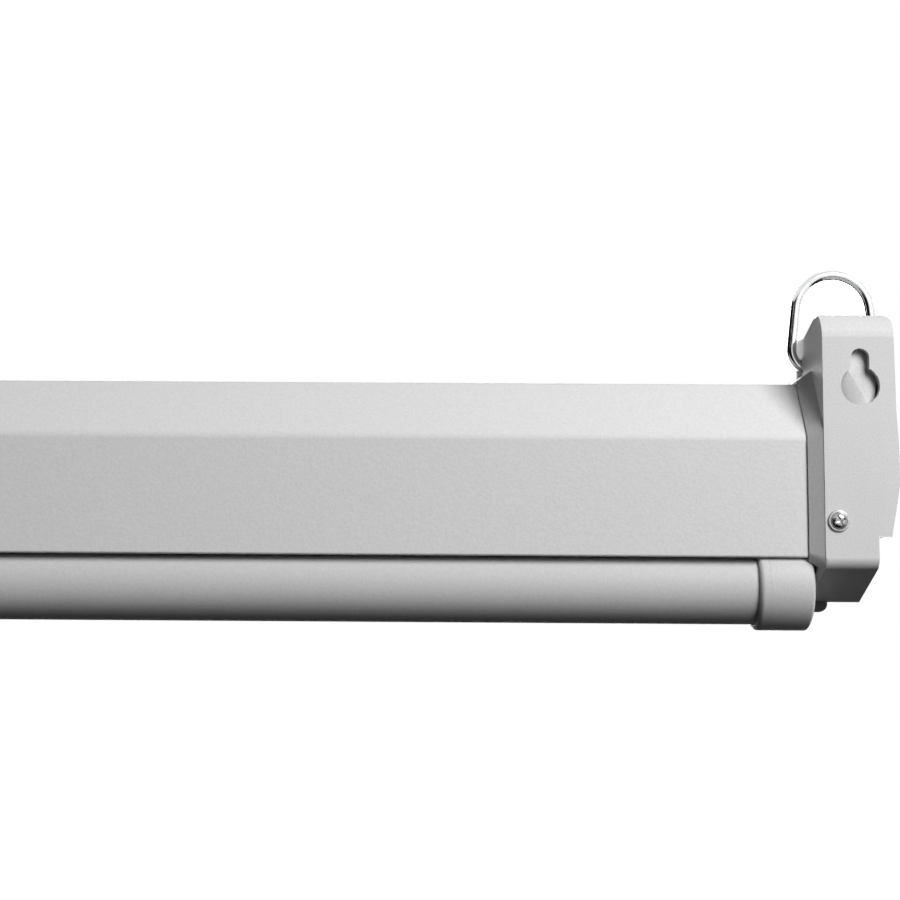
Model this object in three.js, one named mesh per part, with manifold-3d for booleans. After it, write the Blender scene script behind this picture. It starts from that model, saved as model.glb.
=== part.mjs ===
// Pull-down projector screen: a spring roller in a steel case between two moulded end caps.
// Millimetres. X runs along the case, Y from the mounting plane into the depth, Z up.
// The origin is mid-length, on the mounting plane, at the height where the keyholes hang.

import * as THREE from 'three';
import { mergeVertices } from 'three/addons/utils/BufferGeometryUtils.js';
import Module from 'manifold-3d';

const wasm = await Module();
wasm.setup();

// Clearances shared by all pieces
const seatGap = 0.3;
const runGap = 0.5;
const cutOver = 2;
const weldDistance = 1e-4;

// Case: a roll-formed steel section, open below
const case_ = {
  wall: 0.8,
  face: 5.3,
  topZ: -7.7,
  chamfer: 17.7,
  chamferDrop: 23.9,
  topRoom: 14.5,
  lipRoom: 12.9,
  rearRoom: 7.6,
  bottomDrop: 12.7,
  bottomRun: 26.4,
  hemDrop: 6,
  hemFold: 1.1,
  backHem: 5,
};

// End cap: one moulding with a collar round the case, a body and a hanging ear
const cap = {
  collar: 5.5,
  collarLip: 0.7,
  offset: 5.3,
  socket: 0.7,
  shoulder: 3,
  creaseLift: 4.4,
  width: 29.5,
  taper: 0.7,
  band: 1,
  bandAbove: 11.4,
  bandBelow: 7.6,
  stepIn: 3,
  lowIn: 8.2,
  stepLift: 8.4,
  outerWall: 2.5,
  earTopZ: 19,
  earDepth: 31,
  earBackZ: 12.9,
  earRound: 10.5,
  earCorner: 4,
  earEdge: 1,
  plate: 2.8,
};

// Keyhole in the ear's plate, and the pocket behind it for the screw's head
const key = {
  shift: 0.35,
  slotWidth: 7.6,
  headHole: 15.8,
  drop: 11.4,
  pocketDepth: 9,
  pocketSide: 3,
  pocketTop: 12,
  pocketBottom: -23,
  ridgeHeight: 4,
  ridgeWidth: 17,
  ridgeShift: 0.6,
};
const ridgeTilt = THREE.MathUtils.degToRad(-20);

// Lug behind the ear, with the eye that the hanging ring turns in
const lug = {
  reach: 6.7,
  topZ: 13.8,
  round: 6,
  inset: 0.3,
};

// Hanging ring: a bent wire with its ends butted in the eye, its legs a little splayed
const ring = {
  wire: 4.1,
  eyeZ: 0.5,
  topZ: 44.4,
  side: 3.35,
  corner: 11,
  butt: 0.4,
};
const ringSplay = THREE.MathUtils.degToRad(6.3);

// Rubber foot under each end cap
const foot = { inset: 0.4, width: 7.4, depth: 22, height: 4.2, corner: 3 };

// Screws that hold the end caps to the brackets inside
const screw = {
  head: 8.7,
  headHeight: 2.2,
  shank: 3.9,
  length: 13,
  offset: 5.3,
  lift: 14.6,
  crossWidth: 1.1,
  crossLength: 4.6,
  crossDepth: 1.2,
};
const headShares = [[0, 0], [1, 0], [1, 0.25], [0.8, 0.8], [0.4, 1], [0, 1]];

// Brackets inside the end caps
const bracket = {
  plate: 2,
  at: 9.5,
  tabReach: 7.4,
  tabAbove: 12.1,
  tabBelow: 10.9,
  topGap: 8.3,
  windowWidth: 16,
  windowHeight: 9,
  windowDrop: 21,
};

// Fabric and its border
const fabric = { width: 1260, thick: 0.4, clear: 0.06, margin: 2.6 };

// Roller
const roller = {
  radius: 19,
  wall: 1,
  wrap: 3.4,
  overrun: 1,
  spline: 5,
  splineDepth: 1.4,
};

// Plugs in the roller's ends
const plug = { flange: 3, flangeIn: 0.4, length: 36, relief: 12.5, reliefDepth: 24 };

// Idler pin and its bush at the far end from the spring
const idler = { radius: 4, inside: 10, bushRadius: 6, bushCollar: 8, bushCollarLong: 3.2, past: 1.2 };

// Fixed mandrel, torsion spring and its anchor at the spring end
const mandrel = { radius: 5, inside: 330, square: 7, past: 2.4 };
const spring = { wire: 2, room: 7.5, turns: 24, anchorGap: 1.1, anchorLong: 16 };
const springSides = 5;
const springSteps = 8;

// Lock: a notched wheel fixed on the mandrel and a pawl that turns with the roller
const lock = {
  wheelRadius: 11,
  notchWidth: 5.8,
  notchDepth: 2.5,
  thick: 3.6,
  pivotSide: 3.5,
  pivotBelow: 9,
  pinRadius: 1.5,
  arm: 2.1,
  noseGap: 0.5,
  noseHalf: 1.2,
  pinHead: 2.6,
  pinHeadLong: 0.8,
};
const notches = 6;

// Weight bar at the fabric's lower edge, with its caps
const bar = {
  setBack: 0.4,
  lipGap: 0.8,
  lead: 1.9,
  radius: 15.3,
  wall: 1.2,
  slot: 3,
  endGap: 2.3,
  capWall: 2.4,
  capLength: 23.2,
  capEnd: 3,
  capRound: 5,
  capRim: 2,
  hemRod: 2.6,
  hemDrop: 4.6,
};

// Pull handle under the middle of the bar
const handle = {
  clipWidth: 46,
  clipThick: 2.4,
  earThick: 5,
  earHalf: 5,
  pinRadius: 2,
  gripWidth: 62,
  gripHeight: 46,
  gripBar: 8,
  gripThick: 8,
  hubHalf: 5,
  corner: 12,
};
const clipSweep = THREE.MathUtils.degToRad(150);

// Facets on round pieces
const fine = 40;
const round = 28;
const small = 20;

// Overall places worked out from the sizes above: first across the depth, then down, then along
const capRadius = bar.radius + bar.capWall;
const woundRadius = roller.radius + roller.wrap;
const foldY = case_.face + case_.wall + case_.hemFold;
const barY = case_.face + bar.setBack + bar.radius;
const rollerY = barY - bar.lead + woundRadius;
const backY = rollerY + woundRadius + case_.rearRoom + case_.wall;
const midY = (case_.face + backY) / 2;

const creaseZ = case_.topZ - case_.chamferDrop;
const rollerZ = case_.topZ - case_.wall - case_.topRoom - woundRadius;
const lipZ = rollerZ - woundRadius - case_.lipRoom;
const bottomZ = lipZ - case_.bottomDrop;
const lipReach = barY - foldY - bar.lipGap;
const barZ = lipZ - Math.sqrt(capRadius * capRadius - lipReach * lipReach);
const screwZ = lipZ + screw.lift;
const wrapReach = woundRadius - bar.lead - fabric.thick / 2 - fabric.clear;
const fabricTopZ = rollerZ - Math.sqrt(woundRadius * woundRadius - wrapReach * wrapReach);

const capX = fabric.width / 2 + fabric.margin + bar.endGap + bar.capLength;

// Finishes
const paint = (color, roughness, metalness) =>
  new THREE.MeshStandardMaterial({ color, roughness, metalness });
const finish = {
  coat: () => paint(0xd6d6d5, 0.55, 0.1),
  mould: () => paint(0xd9d9d8, 0.5, 0),
  bright: () => paint(0xc8cacc, 0.22, 1),
  steel: () => paint(0x9fa3a6, 0.4, 0.9),
  spring: () => paint(0x6d7073, 0.45, 0.8),
  nylon: () => paint(0xe9e7e0, 0.45, 0),
  dark: () => paint(0x26272a, 0.8, 0),
  cloth: () => paint(0xf2f2f0, 0.85, 0),
  grip: () => paint(0xcfcfce, 0.45, 0),
};

const group = new THREE.Group();

// Solids: three.js geometry in, joined and cut bodies out
function weld(geometry) {
  const bare = geometry.index ? geometry.clone() : geometry;
  bare.deleteAttribute('normal');
  bare.deleteAttribute('uv');
  return mergeVertices(bare, weldDistance);
}

function solid(geometry) {
  const welded = weld(geometry);
  return new wasm.Manifold(new wasm.Mesh({
    numProp: 3,
    vertProperties: new Float32Array(welded.attributes.position.array),
    triVerts: new Uint32Array(welded.index.array),
  }));
}

function geometryOf(body) {
  const mesh = body.getMesh();
  const geometry = new THREE.BufferGeometry();
  geometry.setAttribute('position', new THREE.BufferAttribute(mesh.vertProperties, 3));
  geometry.setIndex(new THREE.BufferAttribute(mesh.triVerts, 1));
  return geometry;
}

function mirrored(geometry) {
  const copy = weld(geometry.clone());
  copy.scale(-1, 1, 1);
  const index = copy.index.array;
  for (let i = 0; i < index.length; i += 3) {
    const second = index[i + 1];
    index[i + 1] = index[i + 2];
    index[i + 2] = second;
  }
  return copy;
}

function add(name, shape, material) {
  const geometry = shape.getMesh ? geometryOf(shape) : shape;
  const mesh = new THREE.Mesh(geometry, material);
  mesh.name = name;
  group.add(mesh);
  return mesh;
}

// A copy at each end: the geometry is made for the +X end and mirrored for the other
function addPair(stem, shape, makeMaterial) {
  const geometry = shape.getMesh ? geometryOf(shape) : shape;
  add(`${stem}_right`, geometry, makeMaterial());
  add(`${stem}_left`, mirrored(geometry), makeMaterial());
}

// Extrusions along the three axes from outlines given in the plane across them
function outline(points, holes = []) {
  const shape = new THREE.Shape(points.map(([a, b]) => new THREE.Vector2(a, b)));
  for (const hole of holes) {
    shape.holes.push(new THREE.Path(hole.map(([a, b]) => new THREE.Vector2(a, b))));
  }
  return shape;
}

function extrude(shape, depth) {
  return new THREE.ExtrudeGeometry(shape, { depth, bevelEnabled: false, steps: 1 });
}

const alongX = new THREE.Matrix4().makeBasis(
  new THREE.Vector3(0, 1, 0), new THREE.Vector3(0, 0, 1), new THREE.Vector3(1, 0, 0));
const alongY = new THREE.Matrix4().makeBasis(
  new THREE.Vector3(1, 0, 0), new THREE.Vector3(0, 0, 1), new THREE.Vector3(0, -1, 0));

function prismX(points, x0, x1, holes) {
  const geometry = extrude(outline(points, holes), x1 - x0);
  return geometry.applyMatrix4(alongX).translate(x0, 0, 0);
}

function prismY(points, y0, y1, holes) {
  const geometry = extrude(outline(points, holes), y1 - y0);
  return geometry.applyMatrix4(alongY).translate(0, y1, 0);
}

function box(x0, x1, y0, y1, z0, z1) {
  const geometry = new THREE.BoxGeometry(x1 - x0, y1 - y0, z1 - z0);
  return geometry.translate((x0 + x1) / 2, (y0 + y1) / 2, (z0 + z1) / 2);
}

function cylinderX(radius, x0, x1, y, z, sides = round) {
  const geometry = new THREE.CylinderGeometry(radius, radius, x1 - x0, sides);
  return geometry.rotateZ(-Math.PI / 2).translate((x0 + x1) / 2, y, z);
}

function cylinderY(radius, y0, y1, x, z, sides = round) {
  const geometry = new THREE.CylinderGeometry(radius, radius, y1 - y0, sides);
  return geometry.translate(x, (y0 + y1) / 2, z);
}

// A body turned about a line along X, from a closed profile of [x, radius] points
function turnedX(profile, y, z, sides = fine) {
  const points = profile.map(([x, radius]) => new THREE.Vector2(radius, x));
  const geometry = new THREE.LatheGeometry([...points, points[0].clone()], sides);
  return geometry.rotateZ(-Math.PI / 2).translate(0, y, z);
}

// An arc of points from one angle to another, both in radians
function arc(cx, cy, radius, from, to, steps) {
  const points = [];
  for (let i = 0; i <= steps; i += 1) {
    const angle = from + (to - from) * i / steps;
    points.push([cx + radius * Math.cos(angle), cy + radius * Math.sin(angle)]);
  }
  return points;
}

// A convex outline, drawn either way round, moved outwards by a distance corner by corner
function offsetOutline(points, distance) {
  const area = points.reduce((sum, [a, b], i) => {
    const [c, d] = points[(i + 1) % points.length];
    return sum + a * d - c * b;
  }, 0);
  const side = Math.sign(area);
  return points.map(([a, b], i) => {
    const [pa, pb] = points[(i + points.length - 1) % points.length];
    const [na, nb] = points[(i + 1) % points.length];
    const inLength = Math.hypot(a - pa, b - pb);
    const outLength = Math.hypot(na - a, nb - b);
    const n1 = [side * (b - pb) / inLength, -side * (a - pa) / inLength];
    const n2 = [side * (nb - b) / outLength, -side * (na - a) / outLength];
    const scale = distance / (1 + n1[0] * n2[0] + n1[1] * n2[1]);
    return [a + (n1[0] + n2[0]) * scale, b + (n1[1] + n2[1]) * scale];
  });
}

// A skin between two outlines of equal count, one at each end along X, closed by flat ends
function loftX(first, x0, last, x1) {
  const count = first.length;
  const positions = [];
  for (const [y, z] of first) positions.push(x0, y, z);
  for (const [y, z] of last) positions.push(x1, y, z);
  const index = [];
  for (let i = 0; i < count; i += 1) {
    const j = (i + 1) % count;
    index.push(i, j, count + j, i, count + j, count + i);
  }
  const ends = THREE.ShapeUtils.triangulateShape(
    first.map(([y, z]) => new THREE.Vector2(y, z)), []);
  for (const [a, b, c] of ends) {
    index.push(c, b, a, count + a, count + b, count + c);
  }
  const geometry = new THREE.BufferGeometry();
  geometry.setAttribute('position', new THREE.Float32BufferAttribute(positions, 3));
  geometry.setIndex(index);
  return geometry;
}

// The case's section as a closed eight-sided outline, counter-clockwise in Y and Z
const caseOutline = [
  [case_.face, lipZ],
  [case_.face + case_.bottomRun, bottomZ],
  [backY - case_.bottomRun, bottomZ],
  [backY, lipZ],
  [backY, creaseZ],
  [backY - case_.chamfer, case_.topZ],
  [case_.face + case_.chamfer, case_.topZ],
  [case_.face, creaseZ],
];
const capOutline = offsetOutline(caseOutline, cap.offset);
const capCreaseZ = creaseZ + cap.creaseLift;
const chamferSlope = case_.chamferDrop / case_.chamfer;
const capChamfer = (capOutline[6][1] - capCreaseZ) / chamferSlope;
capOutline[4][1] = capCreaseZ;
capOutline[5][0] = backY + cap.offset - capChamfer;
capOutline[6][0] = case_.face - cap.offset + capChamfer;
capOutline[7][1] = capCreaseZ;

// Case shell: the section's wall from the hemmed lip round to the lower rear edge
function makeCase() {
  const inner = offsetOutline(caseOutline, -case_.wall);
  const wallPath = [
    [case_.face, lipZ],
    [foldY, lipZ],
    [foldY, lipZ + case_.hemDrop],
    [case_.face + case_.wall, lipZ + case_.hemDrop],
    inner[7],
    inner[6],
    inner[5],
    inner[4],
    inner[3],
    inner[2],
    [inner[2][0], inner[2][1] + case_.backHem],
    [inner[2][0] - case_.wall, inner[2][1] + case_.backHem],
    [inner[2][0] - case_.wall, bottomZ],
    caseOutline[2],
    caseOutline[3],
    caseOutline[4],
    caseOutline[5],
    caseOutline[6],
    caseOutline[7],
  ];
  const end = capX + cap.socket;
  add('case_shell', prismX(wallPath, -end, end), finish.coat());
}

// End cap, made for the +X end
function earOutline() {
  const front = arc(
    cap.earRound, cap.earTopZ - cap.earRound, cap.earRound, Math.PI, Math.PI / 2, 8);
  return [
    [0, capOutline[7][1]],
    [capOutline[6][0], capOutline[6][1] - cap.offset],
    [cap.earDepth, capOutline[6][1] - cap.offset],
    [cap.earDepth, cap.earBackZ],
    ...front.reverse(),
  ];
}

function lugOutline() {
  const base = capOutline[6][1] - cap.offset;
  const lugBack = midY + lug.reach;
  const nose = arc(
    lugBack - lug.round, lug.topZ - lug.round, lug.round, 0, Math.PI / 2, 6);
  return [
    [cap.earDepth - cap.plate, base],
    [lugBack, base],
    ...nose,
    [cap.earDepth - cap.plate, cap.earBackZ],
  ];
}

function frontOutline() {
  const bottom = bottomZ - cap.offset - cutOver;
  const stepZ = lipZ + cap.stepLift;
  const bandTop = rollerZ + cap.bandAbove;
  const bandLow = rollerZ - cap.bandBelow;
  const corner = arc(
    cap.width - cap.taper - cap.earCorner, cap.earTopZ - cap.earCorner, cap.earCorner,
    0, Math.PI / 2, 6);
  return [
    [0, bottom],
    [cap.width - cap.lowIn, bottom],
    [cap.width - cap.lowIn, stepZ],
    [cap.width - cap.stepIn, stepZ],
    [cap.width - cap.taper, bandLow - 2 * cap.band],
    [cap.width + cap.band, bandLow],
    [cap.width + cap.band, bandTop],
    [cap.width, bandTop + 2 * cap.band],
    ...corner,
    [cap.earEdge, cap.earTopZ],
    [0, cap.earTopZ - cap.earEdge],
  ].map(([x, z]) => [capX + x, z]);
}

// The ring's centre line: a bow, two splayed legs, two bends and two ends that meet in the eye
const ringX = capX + cap.width / 2;
const ringBow = cap.width / 2 + ring.side - ring.wire / 2;
const ringBend = ring.corner - ring.wire / 2;
const ringRise = ring.topZ - ring.wire / 2 - ringBow - ring.eyeZ - ringBend;
const ringFlat = (ringBow - ringBend + ringRise * Math.sin(ringSplay)) / Math.cos(ringSplay);

function ringSweep(extra) {
  const wire = ring.wire / 2 + extra;
  const bend = ringBend;
  const flat = ringFlat;
  const centre = ringX;
  const half = cap.width / 2 + lug.inset;
  const points = [[-half, 0]];
  for (let i = 0; i <= small; i += 1) {
    const x = -half + 2 * half * i / small;
    const past = Math.min(Math.max(Math.abs(x) - flat, 0), bend);
    const level = Math.sqrt(bend * bend - past * past);
    points.push([x, bend - level + wire * bend / level]);
  }
  points.push([half, 0]);
  return turnedX(points.map(([x, r]) => [centre + x, r]), midY, ring.eyeZ, fine);
}

function keyholeCut() {
  const x = capX + cap.width / 2 + key.shift;
  const slot = box(
    x - key.slotWidth / 2, x + key.slotWidth / 2, -cutOver, cap.plate + cutOver, -key.drop, 0);
  const top = cylinderY(key.slotWidth / 2, -cutOver, cap.plate + cutOver, x, 0, small);
  const head = cylinderY(key.headHole / 2, -cutOver, cap.plate + cutOver, x, -key.drop, round);
  return solid(slot).add(solid(top)).add(solid(head));
}

function pocketCut() {
  const x0 = capX + key.pocketSide;
  const x1 = capX + cap.width - key.pocketSide;
  const hollow = solid(box(
    x0, x1, cap.plate, cap.plate + key.pocketDepth, key.pocketBottom, key.pocketTop));
  const middle = (x0 + x1) / 2 + key.ridgeShift;
  const floorY = cap.plate + key.pocketDepth;
  const tall = key.pocketTop - key.pocketBottom;
  const ridge = extrude(outline([
    [-key.ridgeWidth, cutOver],
    [0, -key.ridgeHeight],
    [key.ridgeWidth, cutOver],
  ]), 2 * tall);
  ridge.translate(0, 0, -tall);
  ridge.rotateY(ridgeTilt);
  ridge.translate(middle, floorY, (key.pocketTop + key.pocketBottom) / 2);
  return hollow.subtract(solid(ridge));
}

function barPath(radius, x0, x1) {
  const round_ = solid(cylinderX(radius, x0, x1, barY, barZ, fine));
  const below = solid(box(
    x0, x1, barY - radius, barY + radius, bottomZ - cap.offset - 2 * cutOver, barZ));
  return round_.add(below);
}

function makeEndCaps() {
  const front = solid(prismY(frontOutline(), -cutOver, backY + cap.offset + cutOver));
  const side = solid(prismX(capOutline, capX, capX + cap.width + cap.band));
  const ear = solid(prismX(earOutline(), capX, capX + cap.width));
  const lugBody = solid(prismX(lugOutline(), capX + lug.inset, capX + cap.width - lug.inset));
  const thin = offsetOutline(caseOutline, seatGap + cap.collarLip);
  const collar = solid(loftX(thin, capX - cap.collar, capOutline, capX + seatGap));
  const socket = solid(prismX(
    offsetOutline(caseOutline, seatGap), capX - cap.collar - cutOver, capX + cap.socket + seatGap));
  const hollow = solid(prismX(
    offsetOutline(caseOutline, -cap.shoulder), capX, capX + cap.width - cap.lowIn - cap.outerWall));
  const screwHole = screw.shank / 2 + seatGap;
  const screwX = capX + screw.offset;
  let body = side.add(ear).add(lugBody).intersect(front).add(collar);
  body = body.subtract(socket).subtract(hollow);
  body = body.subtract(keyholeCut()).subtract(pocketCut());
  body = body.subtract(solid(ringSweep(seatGap)));
  body = body.subtract(barPath(
    capRadius + seatGap, capX - cap.collar - cutOver, capX - bar.endGap + runGap));
  body = body.subtract(solid(cylinderY(
    screwHole, -cutOver, case_.face + cap.shoulder + cutOver, screwX, screwZ, small)));
  body = body.subtract(solid(cylinderY(
    screwHole, backY - cap.shoulder - cutOver, backY + cap.offset + cutOver, screwX, screwZ, small)));
  addPair('end_cap', body, finish.mould);
}

// Hanging rings
function ringHalf(share) {
  const leg = ringFlat * Math.sin(ringSplay) + ringRise * Math.cos(ringSplay);
  const lengths = [
    ringFlat - ring.butt / 2,
    ringBend * (Math.PI / 2 + ringSplay),
    leg,
    ringBow * (Math.PI / 2 - ringSplay),
  ];
  let left = share * lengths.reduce((sum, length) => sum + length, 0);
  if (left <= lengths[0]) {
    return [ring.butt / 2 + left, 0];
  }
  left -= lengths[0];
  if (left <= lengths[1]) {
    const turn = left / ringBend - Math.PI / 2;
    return [ringFlat + ringBend * Math.cos(turn), ringBend * (1 + Math.sin(turn))];
  }
  left -= lengths[1];
  if (left <= lengths[2]) {
    return [
      ringFlat + ringBend * Math.cos(ringSplay) - left * Math.sin(ringSplay),
      ringBend * (1 + Math.sin(ringSplay)) + left * Math.cos(ringSplay),
    ];
  }
  left -= lengths[2];
  const turn = ringSplay + left / ringBow;
  return [ringBow * Math.cos(turn), ringBend + ringRise + ringBow * Math.sin(turn)];
}

class RingPath extends THREE.Curve {
  getPoint(t, target = new THREE.Vector3()) {
    const side = t <= 1 / 2 ? 1 : -1;
    const [x, z] = ringHalf(side > 0 ? 2 * t : 2 - 2 * t);
    return target.set(side * x, 0, z);
  }
}

function makeRings() {
  const steps = 56;
  const section = new THREE.Shape();
  section.absarc(0, 0, ring.wire / 2, 0, Math.PI * 2);
  const wire = new THREE.ExtrudeGeometry(section, {
    steps, curveSegments: 5, extrudePath: new RingPath(), bevelEnabled: false });
  wire.translate(ringX, midY, ring.eyeZ);
  addPair('hanging_ring', wire, finish.bright);
}

// Rubber feet
function makeFeet() {
  const x0 = capX + foot.inset;
  const x1 = x0 + foot.width;
  const top = bottomZ - cap.offset - seatGap;
  const low = top - foot.height;
  const pad = [
    [x0, top],
    [x0, low],
    ...arc(x1 - foot.corner, low + foot.corner, foot.corner, -Math.PI / 2, 0, 5),
    [x1, top],
  ];
  addPair('foot', prismY(pad, midY - foot.depth / 2, midY + foot.depth / 2), finish.dark);
}

// Screws: one at each cap's mounting side and one at its room side
function makeScrew(y, inward) {
  const x = capX + screw.offset;
  const seat = -inward * seatGap;
  const radius = screw.head / 2;
  const dome = headShares
    .map(([r, h]) => new THREE.Vector2(r * radius, -h * screw.headHeight))
    .reverse();
  const head = solid(new THREE.LatheGeometry(dome, small));
  const shank = solid(cylinderY(screw.shank / 2, -seatGap, screw.length, 0, 0, small));
  const across = solid(box(
    -screw.crossLength / 2, screw.crossLength / 2, -screw.headHeight - cutOver,
    screw.crossDepth - screw.headHeight, -screw.crossWidth / 2, screw.crossWidth / 2));
  const upright = solid(box(
    -screw.crossWidth / 2, screw.crossWidth / 2, -screw.headHeight - cutOver,
    screw.crossDepth - screw.headHeight, -screw.crossLength / 2, screw.crossLength / 2));
  const geometry = geometryOf(head.add(shank).subtract(across).subtract(upright));
  if (inward < 0) geometry.rotateZ(Math.PI);
  return geometry.translate(x, y + seat, screwZ);
}

// Brackets: a steel plate across each cap, with a tab at each side for the screws
function makeBrackets() {
  const x0 = capX + bracket.at;
  const x1 = x0 + bracket.plate;
  const fit = offsetOutline(caseOutline, -cap.shoulder - seatGap);
  const frontY = case_.face + cap.shoulder + seatGap;
  const rearY = backY - cap.shoulder - seatGap;
  const blank = solid(prismX(fit, x0, x1));
  const low = screwZ - bracket.tabBelow;
  const trim = solid(box(x0, x1, frontY, rearY, low, case_.topZ - bracket.topGap));
  const tabs = [frontY, rearY - bracket.plate].map((y) => solid(box(
    x0 - bracket.tabReach, x1, y, y + bracket.plate, low, screwZ + bracket.tabAbove)));
  const holes = solid(cylinderY(
    screw.shank / 2 + seatGap, frontY - cutOver, rearY + cutOver, capX + screw.offset, screwZ,
    small));
  const windows = [-1, 1].map((side) => solid(box(
    x0 - cutOver, x1 + cutOver,
    rollerY + side * bracket.windowDrop - bracket.windowHeight / 2,
    rollerY + side * bracket.windowDrop + bracket.windowHeight / 2,
    rollerZ - bracket.windowWidth / 2, rollerZ + bracket.windowWidth / 2)));
  let plate = blank.intersect(trim).add(tabs[0]).add(tabs[1]).subtract(holes);
  plate = plate.subtract(windows[0]).subtract(windows[1]);
  const round_ = solid(cylinderX(
    idler.bushRadius + seatGap, x0 - cutOver, x1 + cutOver, rollerY, rollerZ, round));
  const square = mandrel.square / 2 + seatGap;
  const keyed = solid(box(
    x0 - cutOver, x1 + cutOver, rollerY - square, rollerY + square,
    rollerZ - square, rollerZ + square));
  add('idler_bracket', plate.subtract(round_), finish.steel());
  add('spring_bracket', mirrored(geometryOf(plate.subtract(keyed))), finish.steel());
}

// Roller tube, with a groove along it for the spline that pinches the fabric
const rollerEnd = capX + roller.overrun;

function makeRoller() {
  const inner = roller.radius - roller.wall;
  const tube = solid(prismX(
    arc(rollerY, rollerZ, roller.radius, 0, Math.PI * 2, fine).slice(0, fine),
    -rollerEnd, rollerEnd,
    [arc(rollerY, rollerZ, inner, 0, Math.PI * 2, fine).slice(0, fine)]));
  const grooveFloor = rollerZ + roller.radius - roller.splineDepth - seatGap;
  const half = roller.spline / 2 + seatGap;
  const trough = solid(box(
    -rollerEnd, rollerEnd, rollerY - half - roller.wall, rollerY + half + roller.wall,
    grooveFloor - roller.wall, rollerZ + inner + roller.wall / 2));
  const groove = solid(box(
    -rollerEnd - cutOver, rollerEnd + cutOver, rollerY - half, rollerY + half,
    grooveFloor, rollerZ + roller.radius + cutOver));
  add('roller_tube', tube.add(trough).subtract(groove), finish.steel());
  add('fabric_spline', box(
    -fabric.width / 2, fabric.width / 2, rollerY - roller.spline / 2,
    rollerY + roller.spline / 2, grooveFloor + seatGap,
    rollerZ + roller.radius - seatGap / 2), finish.nylon());
}

// Fabric wound on the tube, its outer edge stepped where the last turn leaves
function makeWoundFabric() {
  const spiral = [];
  for (let i = 0; i < fine; i += 1) {
    const share = i / fine;
    const angle = Math.PI + 2 * Math.PI * share;
    const radius = woundRadius - fabric.thick * (1 - share);
    spiral.push([rollerY + radius * Math.cos(angle), rollerZ + radius * Math.sin(angle)]);
  }
  const bore = arc(rollerY, rollerZ, roller.radius + seatGap, 0, Math.PI * 2, fine)
    .slice(0, fine);
  add('wound_fabric', prismX(
    spiral, -fabric.width / 2, fabric.width / 2, [bore]), finish.cloth());
}

// Plugs: a flange at the tube's end and a barrel inside it, clear of the groove's trough
function plugBody(bore) {
  const x0 = rollerEnd - plug.length;
  const barrel = roller.radius - roller.wall - seatGap;
  const body = solid(cylinderX(barrel, x0, rollerEnd + seatGap, rollerY, rollerZ, fine))
    .add(solid(cylinderX(
      roller.radius - plug.flangeIn, rollerEnd + seatGap, rollerEnd + seatGap + plug.flange,
      rollerY, rollerZ, fine)));
  const grooveFloor = rollerZ + roller.radius - roller.splineDepth - seatGap;
  const half = roller.spline / 2 + 2 * seatGap + roller.wall;
  const keyway = solid(box(
    x0 - cutOver, rollerEnd + seatGap, rollerY - half, rollerY + half,
    grooveFloor - roller.wall - seatGap, rollerZ + roller.radius));
  const hole = solid(cylinderX(
    bore, x0 - cutOver, rollerEnd + seatGap + plug.flange + cutOver, rollerY, rollerZ, round));
  const relief = solid(cylinderX(
    plug.relief, x0 - cutOver, x0 + plug.reliefDepth, rollerY, rollerZ, round));
  return body.subtract(keyway).subtract(hole).subtract(relief);
}

const flangeOut = rollerEnd + seatGap + plug.flange;

function makeIdlerEnd() {
  const plateX = capX + bracket.at;
  add('idler_plug', plugBody(idler.radius + seatGap), finish.nylon());
  const pinEnd = plateX + bracket.plate + idler.past;
  add('idler_pin', cylinderX(
    idler.radius, rollerEnd - idler.inside, pinEnd, rollerY, rollerZ, round), finish.steel());
  const bush = solid(cylinderX(
    idler.bushRadius, plateX - seatGap - idler.bushCollarLong,
    plateX + bracket.plate + idler.past, rollerY, rollerZ, round))
    .add(solid(cylinderX(
      idler.bushCollar, plateX - seatGap - idler.bushCollarLong, plateX - seatGap,
      rollerY, rollerZ, round)))
    .subtract(solid(cylinderX(
      idler.radius + seatGap, plateX - cutOver * 3, pinEnd + cutOver, rollerY, rollerZ, round)));
  add('idler_bush', bush, finish.nylon());
}

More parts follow.
